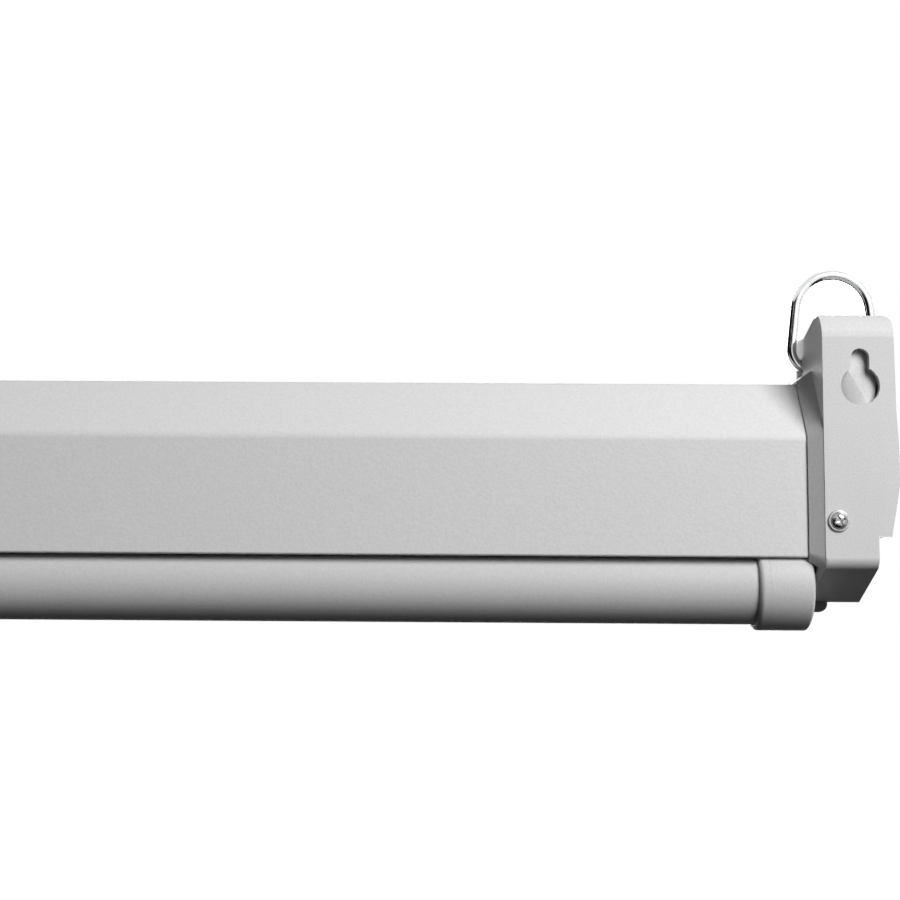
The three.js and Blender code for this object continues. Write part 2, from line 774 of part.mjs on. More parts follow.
function makeSpringEnd() {
  const plateX = capX + bracket.at;
  const wheelX1 = plateX - seatGap;
  const wheelX0 = wheelX1 - lock.thick;
  const half = mandrel.square / 2;
  const springPlug = plugBody(mandrel.radius + seatGap);
  const pivotY = rollerY + lock.wheelRadius + lock.pivotSide;
  const pivotZ = rollerZ - lock.pivotBelow;
  const pinHole = solid(cylinderX(
    lock.pinRadius + seatGap, rollerEnd + seatGap, flangeOut + cutOver, pivotY, pivotZ, small));
  add('spring_plug', mirrored(geometryOf(springPlug.subtract(pinHole))), finish.nylon());

  const rod = solid(cylinderX(
    mandrel.radius, rollerEnd - mandrel.inside, wheelX0 - seatGap, rollerY, rollerZ, round))
    .add(solid(box(
      wheelX0 - seatGap, plateX + bracket.plate + mandrel.past, rollerY - half,
      rollerY + half, rollerZ - half, rollerZ + half)));
  add('spring_mandrel', mirrored(geometryOf(rod)), finish.steel());

  let wheel = solid(cylinderX(lock.wheelRadius, wheelX0, wheelX1, rollerY, rollerZ, fine))
    .subtract(solid(box(
      wheelX0 - cutOver, wheelX1 + cutOver, rollerY - half - seatGap, rollerY + half + seatGap,
      rollerZ - half - seatGap, rollerZ + half + seatGap)));
  for (let i = 0; i < notches; i += 1) {
    const notch = box(
      wheelX0 - cutOver, wheelX1 + cutOver, lock.wheelRadius - lock.notchDepth,
      lock.wheelRadius + cutOver, -lock.notchWidth / 2, lock.notchWidth / 2);
    notch.rotateX(2 * Math.PI * i / notches).translate(0, rollerY, rollerZ);
    wheel = wheel.subtract(solid(notch));
  }
  add('lock_wheel', mirrored(geometryOf(wheel)), finish.steel());

  const pawlX0 = wheelX0 + seatGap;
  const pawlX1 = wheelX1 - seatGap;
  const arm = solid(box(
    pawlX0, pawlX1, pivotY - lock.arm, pivotY + lock.arm, pivotZ, rollerZ + lock.noseHalf));
  const nose = solid(box(
    pawlX0, pawlX1, rollerY + lock.wheelRadius + lock.noseGap, pivotY + lock.arm,
    rollerZ - lock.noseHalf, rollerZ + lock.noseHalf));
  const eye = solid(cylinderX(
    lock.arm + lock.pinRadius / 2, pawlX0, pawlX1, pivotY, pivotZ, small));
  const bore = solid(cylinderX(
    lock.pinRadius + seatGap, pawlX0 - cutOver, pawlX1 + cutOver, pivotY, pivotZ, small));
  add('lock_pawl', mirrored(geometryOf(arm.add(nose).add(eye).subtract(bore))), finish.steel());

  const pin = solid(cylinderX(
    lock.pinRadius, rollerEnd + 2 * seatGap, pawlX1 + seatGap, pivotY, pivotZ, small))
    .add(solid(cylinderX(
      lock.pinHead, pawlX0 - seatGap - lock.pinHeadLong, pawlX0 - seatGap, pivotY, pivotZ,
      small)));
  add('pawl_pin', mirrored(geometryOf(pin)), finish.steel());
}

// Torsion spring: an open coil round the mandrel from the plug's relief to the anchor
class CoilPath extends THREE.Curve {
  constructor(x0, x1) {
    super();
    this.x0 = x0;
    this.x1 = x1;
  }

  getPoint(t, target = new THREE.Vector3()) {
    const angle = 2 * Math.PI * spring.turns * t;
    return target.set(
      this.x0 + (this.x1 - this.x0) * t,
      (mandrel.radius + spring.room) * Math.cos(angle),
      (mandrel.radius + spring.room) * Math.sin(angle));
  }
}

function makeSpring() {
  const troughIn = roller.radius - roller.splineDepth - seatGap - roller.wall;
  const anchorX0 = rollerEnd - mandrel.inside + seatGap;
  const anchorX1 = anchorX0 + spring.anchorLong;
  const coilX0 = anchorX1 + seatGap + spring.wire / 2;
  const coilX1 = rollerEnd - plug.length - seatGap - spring.wire / 2;
  const section = new THREE.Shape(
    arc(0, 0, spring.wire / 2, 0, Math.PI * 2, springSides).slice(0, springSides)
      .map(([a, b]) => new THREE.Vector2(a, b)));
  const coil = new THREE.ExtrudeGeometry(section, {
    steps: spring.turns * springSteps,
    extrudePath: new CoilPath(coilX0, coilX1),
    bevelEnabled: false,
  });
  coil.translate(0, rollerY, rollerZ);
  add('torsion_spring', mirrored(coil), finish.spring());
  const pitch = (coilX1 - coilX0) / spring.turns;
  console.log(`torsion spring: least gap between turns ${(pitch - spring.wire).toFixed(2)} mm`);
  const collar = solid(cylinderX(
    troughIn - spring.anchorGap, anchorX0, anchorX1, rollerY, rollerZ, round))
    .subtract(solid(cylinderX(
      mandrel.radius + seatGap, anchorX0 - cutOver, anchorX1 + cutOver, rollerY, rollerZ,
      round)));
  add('spring_anchor', mirrored(geometryOf(collar)), finish.nylon());
}

// Weight bar: a tube slotted along its top for the fabric
const barEnd = capX - bar.endGap;

function makeBar() {
  const half = bar.slot / 2;
  const inner = bar.radius - bar.wall;
  const outerAngle = Math.asin(half / bar.radius);
  const innerAngle = Math.asin(half / inner);
  const top = Math.PI / 2;
  const ringShape = [
    ...arc(barY, barZ, bar.radius, top + outerAngle, top + 2 * Math.PI - outerAngle, fine),
    ...arc(barY, barZ, inner, top + 2 * Math.PI - innerAngle, top + innerAngle, fine),
  ];
  const tubeEnd = barEnd - bar.capEnd - seatGap;
  add('bar_tube', prismX(ringShape, -tubeEnd, tubeEnd), finish.coat());
  const hemZ = barZ + inner - bar.hemDrop;
  add('hem_rod', cylinderX(
    bar.hemRod, -fabric.width / 2, fabric.width / 2, barY, hemZ, small), finish.steel());
}

function makeBarCaps() {
  const x0 = barEnd - bar.capLength;
  const bore = bar.radius + seatGap;
  const profile = [
    [x0, bore],
    [x0 + bar.capRim, capRadius],
    ...arc(barEnd - bar.capRound, capRadius - bar.capRound, bar.capRound, Math.PI / 2, 0, 6),
    [barEnd, 0],
    [barEnd - bar.capEnd, 0],
    [barEnd - bar.capEnd, bore],
  ];
  addPair('bar_cap', solid(turnedX(profile, barY, barZ)), finish.mould);
}

// Fabric between the roll and the bar
function makeDrop() {
  const inner = bar.radius - bar.wall;
  const hemZ = barZ + inner - bar.hemDrop;
  add('screen_fabric', box(
    -fabric.width / 2, fabric.width / 2, barY - fabric.thick / 2, barY + fabric.thick / 2,
    hemZ + bar.hemRod + seatGap, fabricTopZ), finish.cloth());
}

// Pull handle: a clip round the bar, a pin through its ears and a loop that hangs from it
function makeHandle() {
  const low = -Math.PI / 2;
  const inner = bar.radius + seatGap;
  const outer = inner + handle.clipThick;
  const half = handle.clipWidth / 2;
  const saddle = prismX([
    ...arc(barY, barZ, outer, low - clipSweep / 2, low + clipSweep / 2, round),
    ...arc(barY, barZ, inner, low + clipSweep / 2, low - clipSweep / 2, round),
  ], -half, half);
  const pinZ = barZ - outer - handle.hubHalf - runGap;
  let clip = solid(saddle);
  for (const side of [-1, 1]) {
    const x1 = side * half;
    const x0 = x1 - side * handle.earThick;
    const ear = solid(box(
      Math.min(x0, x1), Math.max(x0, x1), barY - handle.earHalf, barY + handle.earHalf,
      pinZ, barZ - inner - handle.clipThick / 2))
      .add(solid(cylinderX(
        handle.earHalf, Math.min(x0, x1), Math.max(x0, x1), barY, pinZ, round)));
    clip = clip.add(ear);
  }
  clip = clip.subtract(solid(cylinderX(
    handle.pinRadius + seatGap, -half - cutOver, half + cutOver, barY, pinZ, small)));
  add('handle_clip', clip, finish.mould());
  add('handle_pin', cylinderX(
    handle.pinRadius, -half, half, barY, pinZ, small), finish.steel());

  const hubEnd = half - handle.earThick - runGap;
  const gripHalf = handle.gripWidth / 2;
  const topZ = pinZ - handle.hubHalf - runGap;
  const lowZ = topZ - handle.gripHeight;
  const rounded = (inset) => {
    const r = handle.corner - inset;
    const a = gripHalf - inset;
    const z1 = topZ - inset;
    const z0 = lowZ + inset;
    const wide = a - r;
    return [
      ...arc(wide, z0 + r, r, -Math.PI / 2, 0, 8),
      ...arc(wide, z1 - r, r, 0, Math.PI / 2, 8),
      ...arc(-wide, z1 - r, r, Math.PI / 2, Math.PI, 8),
      ...arc(-wide, z0 + r, r, Math.PI, Math.PI * 1.5, 8),
    ];
  };
  const loop = solid(prismY(
    rounded(0), barY - handle.gripThick / 2, barY + handle.gripThick / 2,
    [rounded(handle.gripBar)]));
  const hub = solid(cylinderX(handle.hubHalf, -hubEnd, hubEnd, barY, pinZ, round))
    .add(solid(box(
      -hubEnd, hubEnd, barY - handle.gripThick / 2, barY + handle.gripThick / 2,
      topZ - handle.gripBar / 2, pinZ)));
  const bore = solid(cylinderX(
    handle.pinRadius + seatGap, -half, half, barY, pinZ, small));
  add('pull_handle', loop.add(hub).subtract(bore), finish.grip());
}

makeCase();
makeEndCaps();
makeRings();
makeFeet();
addPair('cap_screw', makeScrew(0, 1), finish.bright);
addPair('cap_screw_room', makeScrew(backY + cap.offset, -1), finish.bright);
makeBrackets();
makeRoller();
makeWoundFabric();
makeIdlerEnd();
makeSpringEnd();
makeSpring();
makeBar();
makeBarCaps();
makeDrop();
makeHandle();

export default group;
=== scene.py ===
"""Looks of a pull-down projector screen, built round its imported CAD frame.

Sizes in the classes are millimetres in the CAD frame, and become metres when a mesh is made.
X runs along the case, Y from the mounting side into the depth, Z up.
"""

import logging
import math
from dataclasses import dataclass
from enum import Enum
from typing import Callable

import bmesh
import bpy
import numpy as np
from mathutils import Matrix, Vector


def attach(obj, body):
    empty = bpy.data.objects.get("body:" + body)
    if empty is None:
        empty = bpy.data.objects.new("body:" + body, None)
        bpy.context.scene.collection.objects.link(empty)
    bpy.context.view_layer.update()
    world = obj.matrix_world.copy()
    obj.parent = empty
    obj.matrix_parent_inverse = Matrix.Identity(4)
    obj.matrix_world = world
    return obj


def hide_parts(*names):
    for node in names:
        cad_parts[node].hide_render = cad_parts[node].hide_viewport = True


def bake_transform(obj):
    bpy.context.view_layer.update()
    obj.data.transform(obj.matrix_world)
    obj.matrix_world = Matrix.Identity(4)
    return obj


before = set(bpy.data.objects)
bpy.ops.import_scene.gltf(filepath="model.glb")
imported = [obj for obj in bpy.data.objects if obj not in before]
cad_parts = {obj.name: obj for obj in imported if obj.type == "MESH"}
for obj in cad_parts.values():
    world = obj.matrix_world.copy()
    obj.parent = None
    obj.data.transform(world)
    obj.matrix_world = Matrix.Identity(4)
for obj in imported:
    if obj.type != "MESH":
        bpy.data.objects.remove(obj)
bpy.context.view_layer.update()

Array = np.ndarray
Pair = tuple[float, float]
Triple = tuple[float, float, float]
Material = bpy.types.Material
Piece = bpy.types.Object
log = logging.getLogger("screen")

MM = 0.001
TURN = 2 * math.pi
POLE_MERGE = 1e-4 * MM
NODE_MERGE = 2e-3 * MM
FLAT_ANGLE = math.radians(0.4)
CREASE_ANGLE = math.radians(15)


class End(Enum):
    """An end of the case, by its way along X."""

    RIGHT = 1
    LEFT = -1


class Side(Enum):
    """A side of the case, by its way along Y."""

    WALL = -1
    ROOM = 1


@dataclass(frozen=True)
class Layout:
    """Places that the sub-assemblies share."""

    cap_x: float = 658.1
    cap_width: float = 29.5
    cap_offset: float = 5.3
    seat: float = 0.3
    face_y: float = 5.3
    back_y: float = 72.3
    top_z: float = -7.7
    crease_z: float = -31.6
    lip_z: float = -80.7
    bottom_z: float = -93.4
    chamfer: float = 17.7
    bottom_run: float = 26.4
    roller: Pair = (41.5, -45.4)
    bar: Pair = (21.0, -92.688)
    fabric_width: float = 1260.0

    @property
    def mid_y(self) -> float:
        """The middle of the case's depth."""
        return (self.face_y + self.back_y) / 2

    def section(self) -> Array:
        """The case's eight-sided outline in Y and Z, from the front lip, anticlockwise.

        Returns:
            Eight corners, one a row.
        """
        return np.array([
            (self.face_y, self.lip_z),
            (self.face_y + self.bottom_run, self.bottom_z),
            (self.back_y - self.bottom_run, self.bottom_z),
            (self.back_y, self.lip_z),
            (self.back_y, self.crease_z),
            (self.back_y - self.chamfer, self.top_z),
            (self.face_y + self.chamfer, self.top_z),
            (self.face_y, self.crease_z),
        ])


LAYOUT = Layout()


# Outlines and paths, as arrays of points in a plane


def normals_of(path: Array, closed: bool) -> Array:
    """Mitred vectors to a path's left: n = (n1 + n2) / (1 + n1.n2).

    Args:
        path: Points of the path, one a row.
        closed: Whether the last point joins the first.

    Returns:
        The vector that moves each point sideways by one.
    """
    step = np.roll(path, -1, 0) - path
    step /= np.maximum(np.linalg.norm(step, axis=1, keepdims=True), 1e-12)
    after = np.stack([-step[:, 1], step[:, 0]], 1)
    before = np.roll(after, 1, 0)
    if not closed:
        before[0] = after[0]
        after[-1] = before[-1]
    both = before + after
    return both / (1 + (before * after).sum(1, keepdims=True))


def offset(path: Array, distance: float, closed: bool = True) -> Array:
    """A path moved sideways: outwards where it is closed and anticlockwise.

    Args:
        path: Points of the path.
        distance: How far it moves to its right.
        closed: Whether the last point joins the first.

    Returns:
        The moved points.
    """
    return path - normals_of(path, closed) * distance


def rounded(path: Array, radii: Array, steps: int = 8, closed: bool = True) -> Array:
    """A path with an arc in the place of each corner.

    With 2 h between the corner's sides, the arc starts r / tan(h) from the corner and its centre
    lies r / sin(h) from it.

    Args:
        path: Corners, one a row.
        radii: A radius for each corner or for all; zero leaves a corner sharp.
        steps: Pieces in each arc.
        closed: Whether the last corner joins the first.

    Returns:
        The points of the rounded path.
    """
    radii = np.broadcast_to(radii, len(path)).astype(float)
    out = []
    for i, corner in enumerate(path):
        if radii[i] <= 0 or (not closed and i in (0, len(path) - 1)):
            out.append(corner[None])
            continue
        a = path[i - 1] - corner
        b = path[(i + 1) % len(path)] - corner
        a, b = a / np.linalg.norm(a), b / np.linalg.norm(b)
        half = math.acos(float(np.clip(a @ b, -1, 1))) / 2
        centre = corner + (a + b) / np.linalg.norm(a + b) * radii[i] / math.sin(half)
        start = corner + a * radii[i] / math.tan(half) - centre
        end = corner + b * radii[i] / math.tan(half) - centre
        sweep = math.pi - 2 * half
        t = np.linspace(0, 1, steps + 1)[:, None]
        out.append(centre + (start * np.sin((1 - t) * sweep) + end * np.sin(t * sweep)) / math.sin(sweep))
    return np.concatenate(out)


def arc(centre: Pair, radius: Array | float, angle: Array | float) -> Array:
    """Points of a circle or a spiral: centre + r (cos a, sin a)."""
    return np.stack([centre[0] + radius * np.cos(angle), centre[1] + radius * np.sin(angle)], -1)


def way_round(count: int) -> Array:
    """Angles of evenly spaced points round a circle."""
    return np.arange(count) / count * TURN


def runs_of(path: Array) -> Array:
    """Length along a path up to each of its points."""
    return np.concatenate([[0], np.cumsum(np.linalg.norm(np.diff(path, axis=0), axis=1))])


# Meshes


def quads(rows: int, cols: int, wrap_rows: bool = False, wrap_cols: bool = False) -> Array:
    """Faces of a grid whose point (i, j) has the index i * cols + j.

    Args:
        rows: Rows of points.
        cols: Points in a row.
        wrap_rows: Whether the last row joins the first.
        wrap_cols: Whether each row's last point joins its first.

    Returns:
        Four indices a face.
    """
    i = np.arange(rows if wrap_rows else rows - 1)[:, None]
    j = np.arange(cols if wrap_cols else cols - 1)[None]
    i2, j2 = (i + 1) % rows, (j + 1) % cols
    return np.stack([i * cols + j, i * cols + j2, i2 * cols + j2, i2 * cols + j], -1).reshape(-1, 4)


def capped(rows: int, cols: int) -> list:
    """Faces of a tube of rings, with one face over each end."""
    last = (rows - 1) * cols
    ends = [list(range(cols - 1, -1, -1)), list(range(last, last + cols))]
    return quads(rows, cols, wrap_cols=True).tolist() + ends


def unwrap(mesh: bpy.types.Mesh, name: str, places: Array) -> None:
    """Gives a mesh a UV map.

    Args:
        mesh: The mesh.
        name: The map's name.
        places: U and V for each of its points, in millimetres.
    """
    index = np.empty(len(mesh.loops), np.int32)
    mesh.loops.foreach_get("vertex_index", index)
    mesh.uv_layers.new(name=name).data.foreach_set("uv", (places[index] * MM).ravel())


def linked(name: str, data: bpy.types.ID) -> Piece:
    """A new object in the scene."""
    made = bpy.data.objects.new(name, data)
    bpy.context.scene.collection.objects.link(made)
    return made


def shown(name: str, mesh: bpy.types.Mesh, smooth: float) -> Piece:
    """An object that is shaded smooth across edges of less than this many degrees."""
    mesh.shade_smooth()
    mesh.set_sharp_from_angle(angle=math.radians(smooth))
    return linked(name, mesh)


def make_piece(name: str, points: Array, faces: list, smooth: float = 30.0, weld: bool = False) -> Piece:
    """A shown piece from points in millimetres, closed and with its faces outwards.

    Args:
        name: The piece's name.
        points: X, Y and Z of each point.
        faces: Index lists.
        smooth: Shading angle in degrees.
        weld: Whether points in one place are merged, as at poles.

    Returns:
        The new object.
    """
    mesh = bpy.data.meshes.new(name)
    mesh.from_pydata((points.reshape(-1, 3) * MM).tolist(), [], faces)
    work = bmesh.new()
    work.from_mesh(mesh)
    if weld:
        bmesh.ops.remove_doubles(work, verts=work.verts, dist=POLE_MERGE)
        bmesh.ops.dissolve_degenerate(work, edges=work.edges, dist=POLE_MERGE)
    bmesh.ops.recalc_face_normals(work, faces=work.faces)
    work.to_mesh(mesh)
    work.free()
    mesh.update()
    return shown(name, mesh, smooth)


def sheet_along(name: str, path: Array, wall: float, half: float, stations: int, smooth: float = 30.0,
                faced: bool = False) -> Piece:
    """A sheet bent along a path in Y and Z, from X = -half to X = half.

    Its skins are the path moved by wall / 2 to each side. Strips close its ends and edges. Its
    UV map holds X and the length along the path.

    Args:
        name: The piece's name.
        path: The sheet's middle line.
        wall: Its thickness.
        half: Half its length along X.
        stations: Copies along X.
        smooth: Shading angle in degrees.
        faced: Whether the skin to the path's left gets material index 1.

    Returns:
        The new object.
    """
    n = len(path)
    loop = np.concatenate([offset(path, wall / 2, False), offset(path, -wall / 2, False)[::-1]])
    x = np.linspace(-half, half, stations)
    points = np.empty((stations, 2 * n, 3))
    points[..., 0] = x[:, None]
    points[..., 1:] = loop[None]
    around = quads(stations, 2 * n, wrap_cols=True)
    j = np.arange(n - 1)
    end = np.stack([j, j + 1, 2 * n - 2 - j, 2 * n - 1 - j], 1)
    faces = np.concatenate([around, end, end[:, ::-1] + (stations - 1) * 2 * n])
    piece = make_piece(name, points, faces.tolist(), smooth)
    run = runs_of(path)
    run = np.concatenate([run, run[::-1]])
    unwrap(piece.data, "cloth", np.stack([np.repeat(x, 2 * n), np.tile(run, stations)], 1))
    if faced:
        column = np.tile(np.arange(2 * n), stations - 1)
        skin = np.zeros(len(faces), np.int32)
        skin[: len(around)] = (column >= n) & (column < 2 * n - 1)
        piece.data.polygons.foreach_set("material_index", skin)
    return piece


def turned(name: str, profile: Array, axis: Pair, sides: int, smooth: float) -> Piece:
    """A closed profile of X and radius turned about a line along X: (x, y + r cos t, z + r sin t).

    Args:
        name: The piece's name.
        profile: X and radius of each point.
        axis: The line's Y and Z.
        sides: Points round the axis.
        smooth: Shading angle in degrees.

    Returns:
        The new object.
    """
    points = np.empty((len(profile), sides, 3))
    points[..., 0] = profile[:, :1]
    points[..., 1:] = arc(axis, profile[:, 1:], way_round(sides))
    return make_piece(name, points, quads(len(profile), sides, True, True).tolist(), smooth, weld=True)


def swept(name: str, path: Array, radius: Array | float, sides: int, normal: Triple) -> Piece:
    """A round wire along a path: p + r (cos t n + sin t b), with b across the path and n.

    Its UV map holds the length along it and the way round it.

    Args:
        name: The piece's name.
        path: Points in space.
        radius: The wire's radius, at each point or everywhere.
        sides: Points round the wire.
        normal: A direction that the path never runs along.

    Returns:
        The new object.
    """
    along = np.gradient(path, axis=0)
    along /= np.linalg.norm(along, axis=1, keepdims=True)
    n = np.array(normal) - (along @ np.array(normal))[:, None] * along
    n /= np.linalg.norm(n, axis=1, keepdims=True)
    b = np.cross(along, n)
    t = way_round(sides)
    r = np.broadcast_to(radius, len(path))[:, None, None]
    cos, sin = np.cos(t)[None, :, None], np.sin(t)[None, :, None]
    points = path[:, None] + r * (cos * n[:, None] + sin * b[:, None])
    piece = make_piece(name, points, capped(len(path), sides), smooth=40)
    around = np.tile(t * float(np.max(radius)), len(path))
    unwrap(piece.data, "wire", np.stack([np.repeat(runs_of(path), sides), around], 1))
    return piece


def even_out(piece: Piece) -> Piece:
    """Weighs normals by area, so that flats look flat beside rounded edges.

    Args:
        piece: The piece.

    Returns:
        The same piece.
    """
    even = piece.modifiers.new("normals", "WEIGHTED_NORMAL")
    even.mode = "FACE_AREA"
    even.weight = 100
    even.keep_sharp = True
    return piece


def softened(node: str, name: str, width: float, segments: int = 3, angle: float = 30.0,
             broad: Callable[[Vector, Vector], bool] | None = None, broad_width: float = 0.0,
             ease: Callable[[Vector], Vector] | None = None) -> Piece:
    """A merged copy of a CAD node with its edges rounded over.

    Args:
        node: The CAD node.
        name: The new piece's name.
        width: Width of the rounding in millimetres.
        segments: Faces across it.
        angle: Edges sharper than this, in degrees, are rounded.
        broad: Tells from an edge's ends, in millimetres, whether it is rounded broadly first.
        broad_width: Width of the broad rounding.
        ease: Moves a point, in millimetres, before anything is rounded.

    Returns:
        The new object, which replaces the node.
    """
    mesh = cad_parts[node].data.copy()
    mesh.name = name
    mesh.materials.clear()
    work = bmesh.new()
    work.from_mesh(mesh)
    bmesh.ops.remove_doubles(work, verts=work.verts, dist=NODE_MERGE)
    bmesh.ops.dissolve_limit(work, angle_limit=FLAT_ANGLE, verts=work.verts, edges=work.edges)
    for vert in work.verts if ease else ():
        vert.co = ease(vert.co / MM) * MM
    if broad:
        chosen = [e for e in work.edges if e.calc_face_angle(0) > CREASE_ANGLE
                  and broad(e.verts[0].co / MM, e.verts[1].co / MM)]
        log.info("%s: %d edges rounded broadly", name, len(chosen))
        bmesh.ops.bevel(work, geom=chosen, offset=broad_width * MM, offset_type="OFFSET", segments=8,
                        profile=0.5, affect="EDGES", clamp_overlap=False)
    work.to_mesh(mesh)
    work.free()
    for layer in list(mesh.uv_layers):
        mesh.uv_layers.remove(layer)
    piece = shown(name, mesh, angle)
    bevel = piece.modifiers.new("edges", "BEVEL")
    bevel.width = width * MM
    bevel.segments = segments
    bevel.limit_method = "ANGLE"
    bevel.angle_limit = math.radians(angle)
    bevel.harden_normals = True
    bevel.use_clamp_overlap = True
    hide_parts(node)
    return even_out(piece)


# Shader graphs


class Wire:
    """A socket with arithmetic: an expression on wires adds its Math nodes."""

    def __init__(self, graph: "Graph", socket: bpy.types.NodeSocket) -> None:
        """Holds a socket of a graph."""
        self.graph = graph
        self.socket = socket

    def math(self, operation: str, *others: "Wire | float") -> "Wire":
        """A Math node on this value and others."""
        return self.graph.node("ShaderNodeMath", {"operation": operation}, [self, *others])

    def __add__(self, other: "Wire | float") -> "Wire":
        """Adds."""
        return self.math("ADD", other)

    __radd__ = __add__

    def __mul__(self, other: "Wire | float") -> "Wire":
        """Multiplies."""
        return self.math("MULTIPLY", other)

    def __sub__(self, other: "Wire | float") -> "Wire":
        """Subtracts."""
        return self.math("SUBTRACT", other)

    def __rsub__(self, other: float) -> "Wire":
        """Subtracts this from a number."""
        return self.graph.node("ShaderNodeMath", {"operation": "SUBTRACT"}, [other, self])

    def __abs__(self) -> "Wire":
        """The value without its sign."""
        return self.math("ABSOLUTE")

    def ramp(self, low: float, high: float) -> "Wire":
        """Runs smoothly from 0 where this value is low to 1 where it is high."""
        span = {"Value": self, "From Min": low, "From Max": high}
        return self.graph.node("ShaderNodeMapRange", {"interpolation_type": "SMOOTHSTEP"}, span)


class Graph:
    """The node tree of a new material or world, and its one shader."""

    def __init__(self, name: str, world: bool = False) -> None:
        """Makes the material or world."""
        self.owner = bpy.data.worlds.new(name) if world else bpy.data.materials.new(name)
        self.owner.use_nodes = True
        self.tree = self.owner.node_tree
        self.shader = self.tree.nodes["Background" if world else "Principled BSDF"]

    def plug(self, socket: bpy.types.NodeSocket, value: "Wire | float | tuple") -> None:
        """Links a wire to a socket, or sets the socket's own value.

        Args:
            socket: The input.
            value: A wire, a number or a colour.
        """
        if isinstance(value, Wire):
            self.tree.links.new(value.socket, socket)
        elif isinstance(value, tuple) and len(value) == 3 and socket.type == "RGBA":
            socket.default_value = (*value, 1)
        else:
            socket.default_value = value

    def node(self, kind: str, settings: dict | None = None, inputs: dict | list | None = None,
             output: str | int = 0) -> Wire:
        """Adds a node.

        Args:
            kind: The node's type.
            settings: Its properties, set first.
            inputs: Values or wires by the sockets' names or order.
            output: Which output the wire leaves from.

        Returns:
            The wire.
        """
        made = self.tree.nodes.new(kind)
        for key, value in (settings or {}).items():
            setattr(made, key, value)
        for key, value in inputs.items() if isinstance(inputs, dict) else enumerate(inputs or []):
            self.plug(made.inputs[key], value)
        return Wire(self, made.outputs[output])

    def place(self) -> Wire:
        """Object coordinates."""
        return self.node("ShaderNodeTexCoord", output="Object")

    def stretched(self, source: Wire, scale: Triple) -> Wire:
        """Coordinates scaled along each axis."""
        return self.node("ShaderNodeMapping", inputs={"Vector": source, "Scale": scale})

    def noise(self, source: Wire, scale: float, detail: float, rough: float = 0.5) -> Wire:
        """Noise from 0 to 1 with this many cells a metre."""
        values = {"Vector": source, "Scale": scale, "Detail": detail, "Roughness": rough}
        return self.node("ShaderNodeTexNoise", inputs=values)

    def cells(self, source: Wire, scale: float) -> Wire:
        """Distance to the nearest of scattered points."""
        return self.node("ShaderNodeTexVoronoi", inputs={"Vector": source, "Scale": scale})

    def mix(self, factor: Wire | float, low: "Wire | tuple", high: "Wire | tuple") -> Wire:
        """A colour between two."""
        return self.node("ShaderNodeMix", {"data_type": "RGBA"}, {0: factor, 6: low, 7: high}, 2)

    def bump(self, height: Wire, depth: float) -> Wire:
        """A normal from a height of 0 to 1 that stands for this depth in metres."""
        return self.node("ShaderNodeBump", inputs={"Height": height, "Distance": depth, "Strength": 1.0})

    def seen(self) -> Wire:
        """1 for rays of the camera, of gloss and of transmission, 0 for the rest."""
        ray = self.node("ShaderNodeLightPath", output="Is Camera Ray")
        for other in ("Is Glossy Ray", "Is Transmission Ray"):
            ray = ray.math("MAXIMUM", self.node("ShaderNodeLightPath", output=other))
        return ray

    def finish(self, **values: "Wire | float | tuple") -> Material:
        """Sets the shader's sockets, named with underscores for spaces.

        Args:
            values: Sockets and what goes in.

        Returns:
            The finished material.
        """
        for key, value in values.items():
            self.plug(self.shader.inputs[key.replace("_", " ").title().replace("Ior", "IOR")], value)
        return self.owner


def shade(colour: Triple, factor: float) -> Triple:
    """A colour made lighter or darker."""
    return tuple(channel * factor for channel in colour)


@dataclass(frozen=True)
class PowderCoat:
    """Sprayed and baked powder on steel: a fine peel, a finer grain, and a few faint scuffs."""

    name: str = "powder_coat"
    colour: Triple = (0.58, 0.58, 0.58)
    roughness: float = 0.5
    gloss: float = 0.16
    peel: float = 700.0
    grain: float = 1900.0
    cloud: float = 9.0
    scuff_shape: Triple = (4, 90, 90)
    depth: float = 0.00011

    def material(self) -> Material:
        """The material."""
        g = Graph(self.name)
        at = g.place()
        peel = g.noise(at, self.peel, 2, 0.55)
        grain = g.noise(at, self.grain, 1)
        cloud = g.noise(at, self.cloud, 3)
        scuff = g.noise(g.stretched(at, self.scuff_shape), 6, 4, 0.7).ramp(0.68, 0.78)
        light = g.mix((peel * 0.42 + grain * 0.5 + cloud * 0.08).ramp(0.25, 0.75),
                      shade(self.colour, 0.93), shade(self.colour, 1.06))
        colour = g.mix(scuff * 0.12, light, shade(self.colour, 1.15))
        rough = self.roughness + (grain - 0.5) * 0.12 + (cloud - 0.5) * 0.08 - scuff * 0.08
        return g.finish(base_color=colour, roughness=rough, specular_ior_level=self.gloss,
                        normal=g.bump(peel * 0.6 + grain * 0.4, self.depth))


@dataclass(frozen=True)
class Moulding:
    """Moulded plastic with a spark-eroded skin."""

    name: str = "moulding"
    colour: Triple = (0.65, 0.65, 0.65)
    roughness: float = 0.45
    grain: float = 1400.0
    depth: float = 0.00004
    gloss: float = 0.18
    cloud: float = 24.0
    flow_shape: Triple = (60, 60, 12)

    def material(self) -> Material:
        """The material."""
        g = Graph(self.name)
        at = g.place()
        grain = g.noise(at, self.grain, 2, 0.6)
        pits = g.cells(at, self.grain * 0.7)
        cloud = g.noise(at, self.cloud, 3)
        flow = g.noise(g.stretched(at, self.flow_shape), 1, 2)
        tone = (grain * 0.7 + cloud * 0.15 + flow * 0.15).ramp(0.3, 0.7)
        colour = g.mix(tone, shade(self.colour, 0.92), shade(self.colour, 1.07))
        rough = self.roughness + (grain - 0.5) * 0.1 + (cloud - 0.5) * 0.1
        return g.finish(base_color=colour, roughness=rough, specular_ior_level=self.gloss,
                        normal=g.bump(grain * 0.7 + pits * 0.3, self.depth))


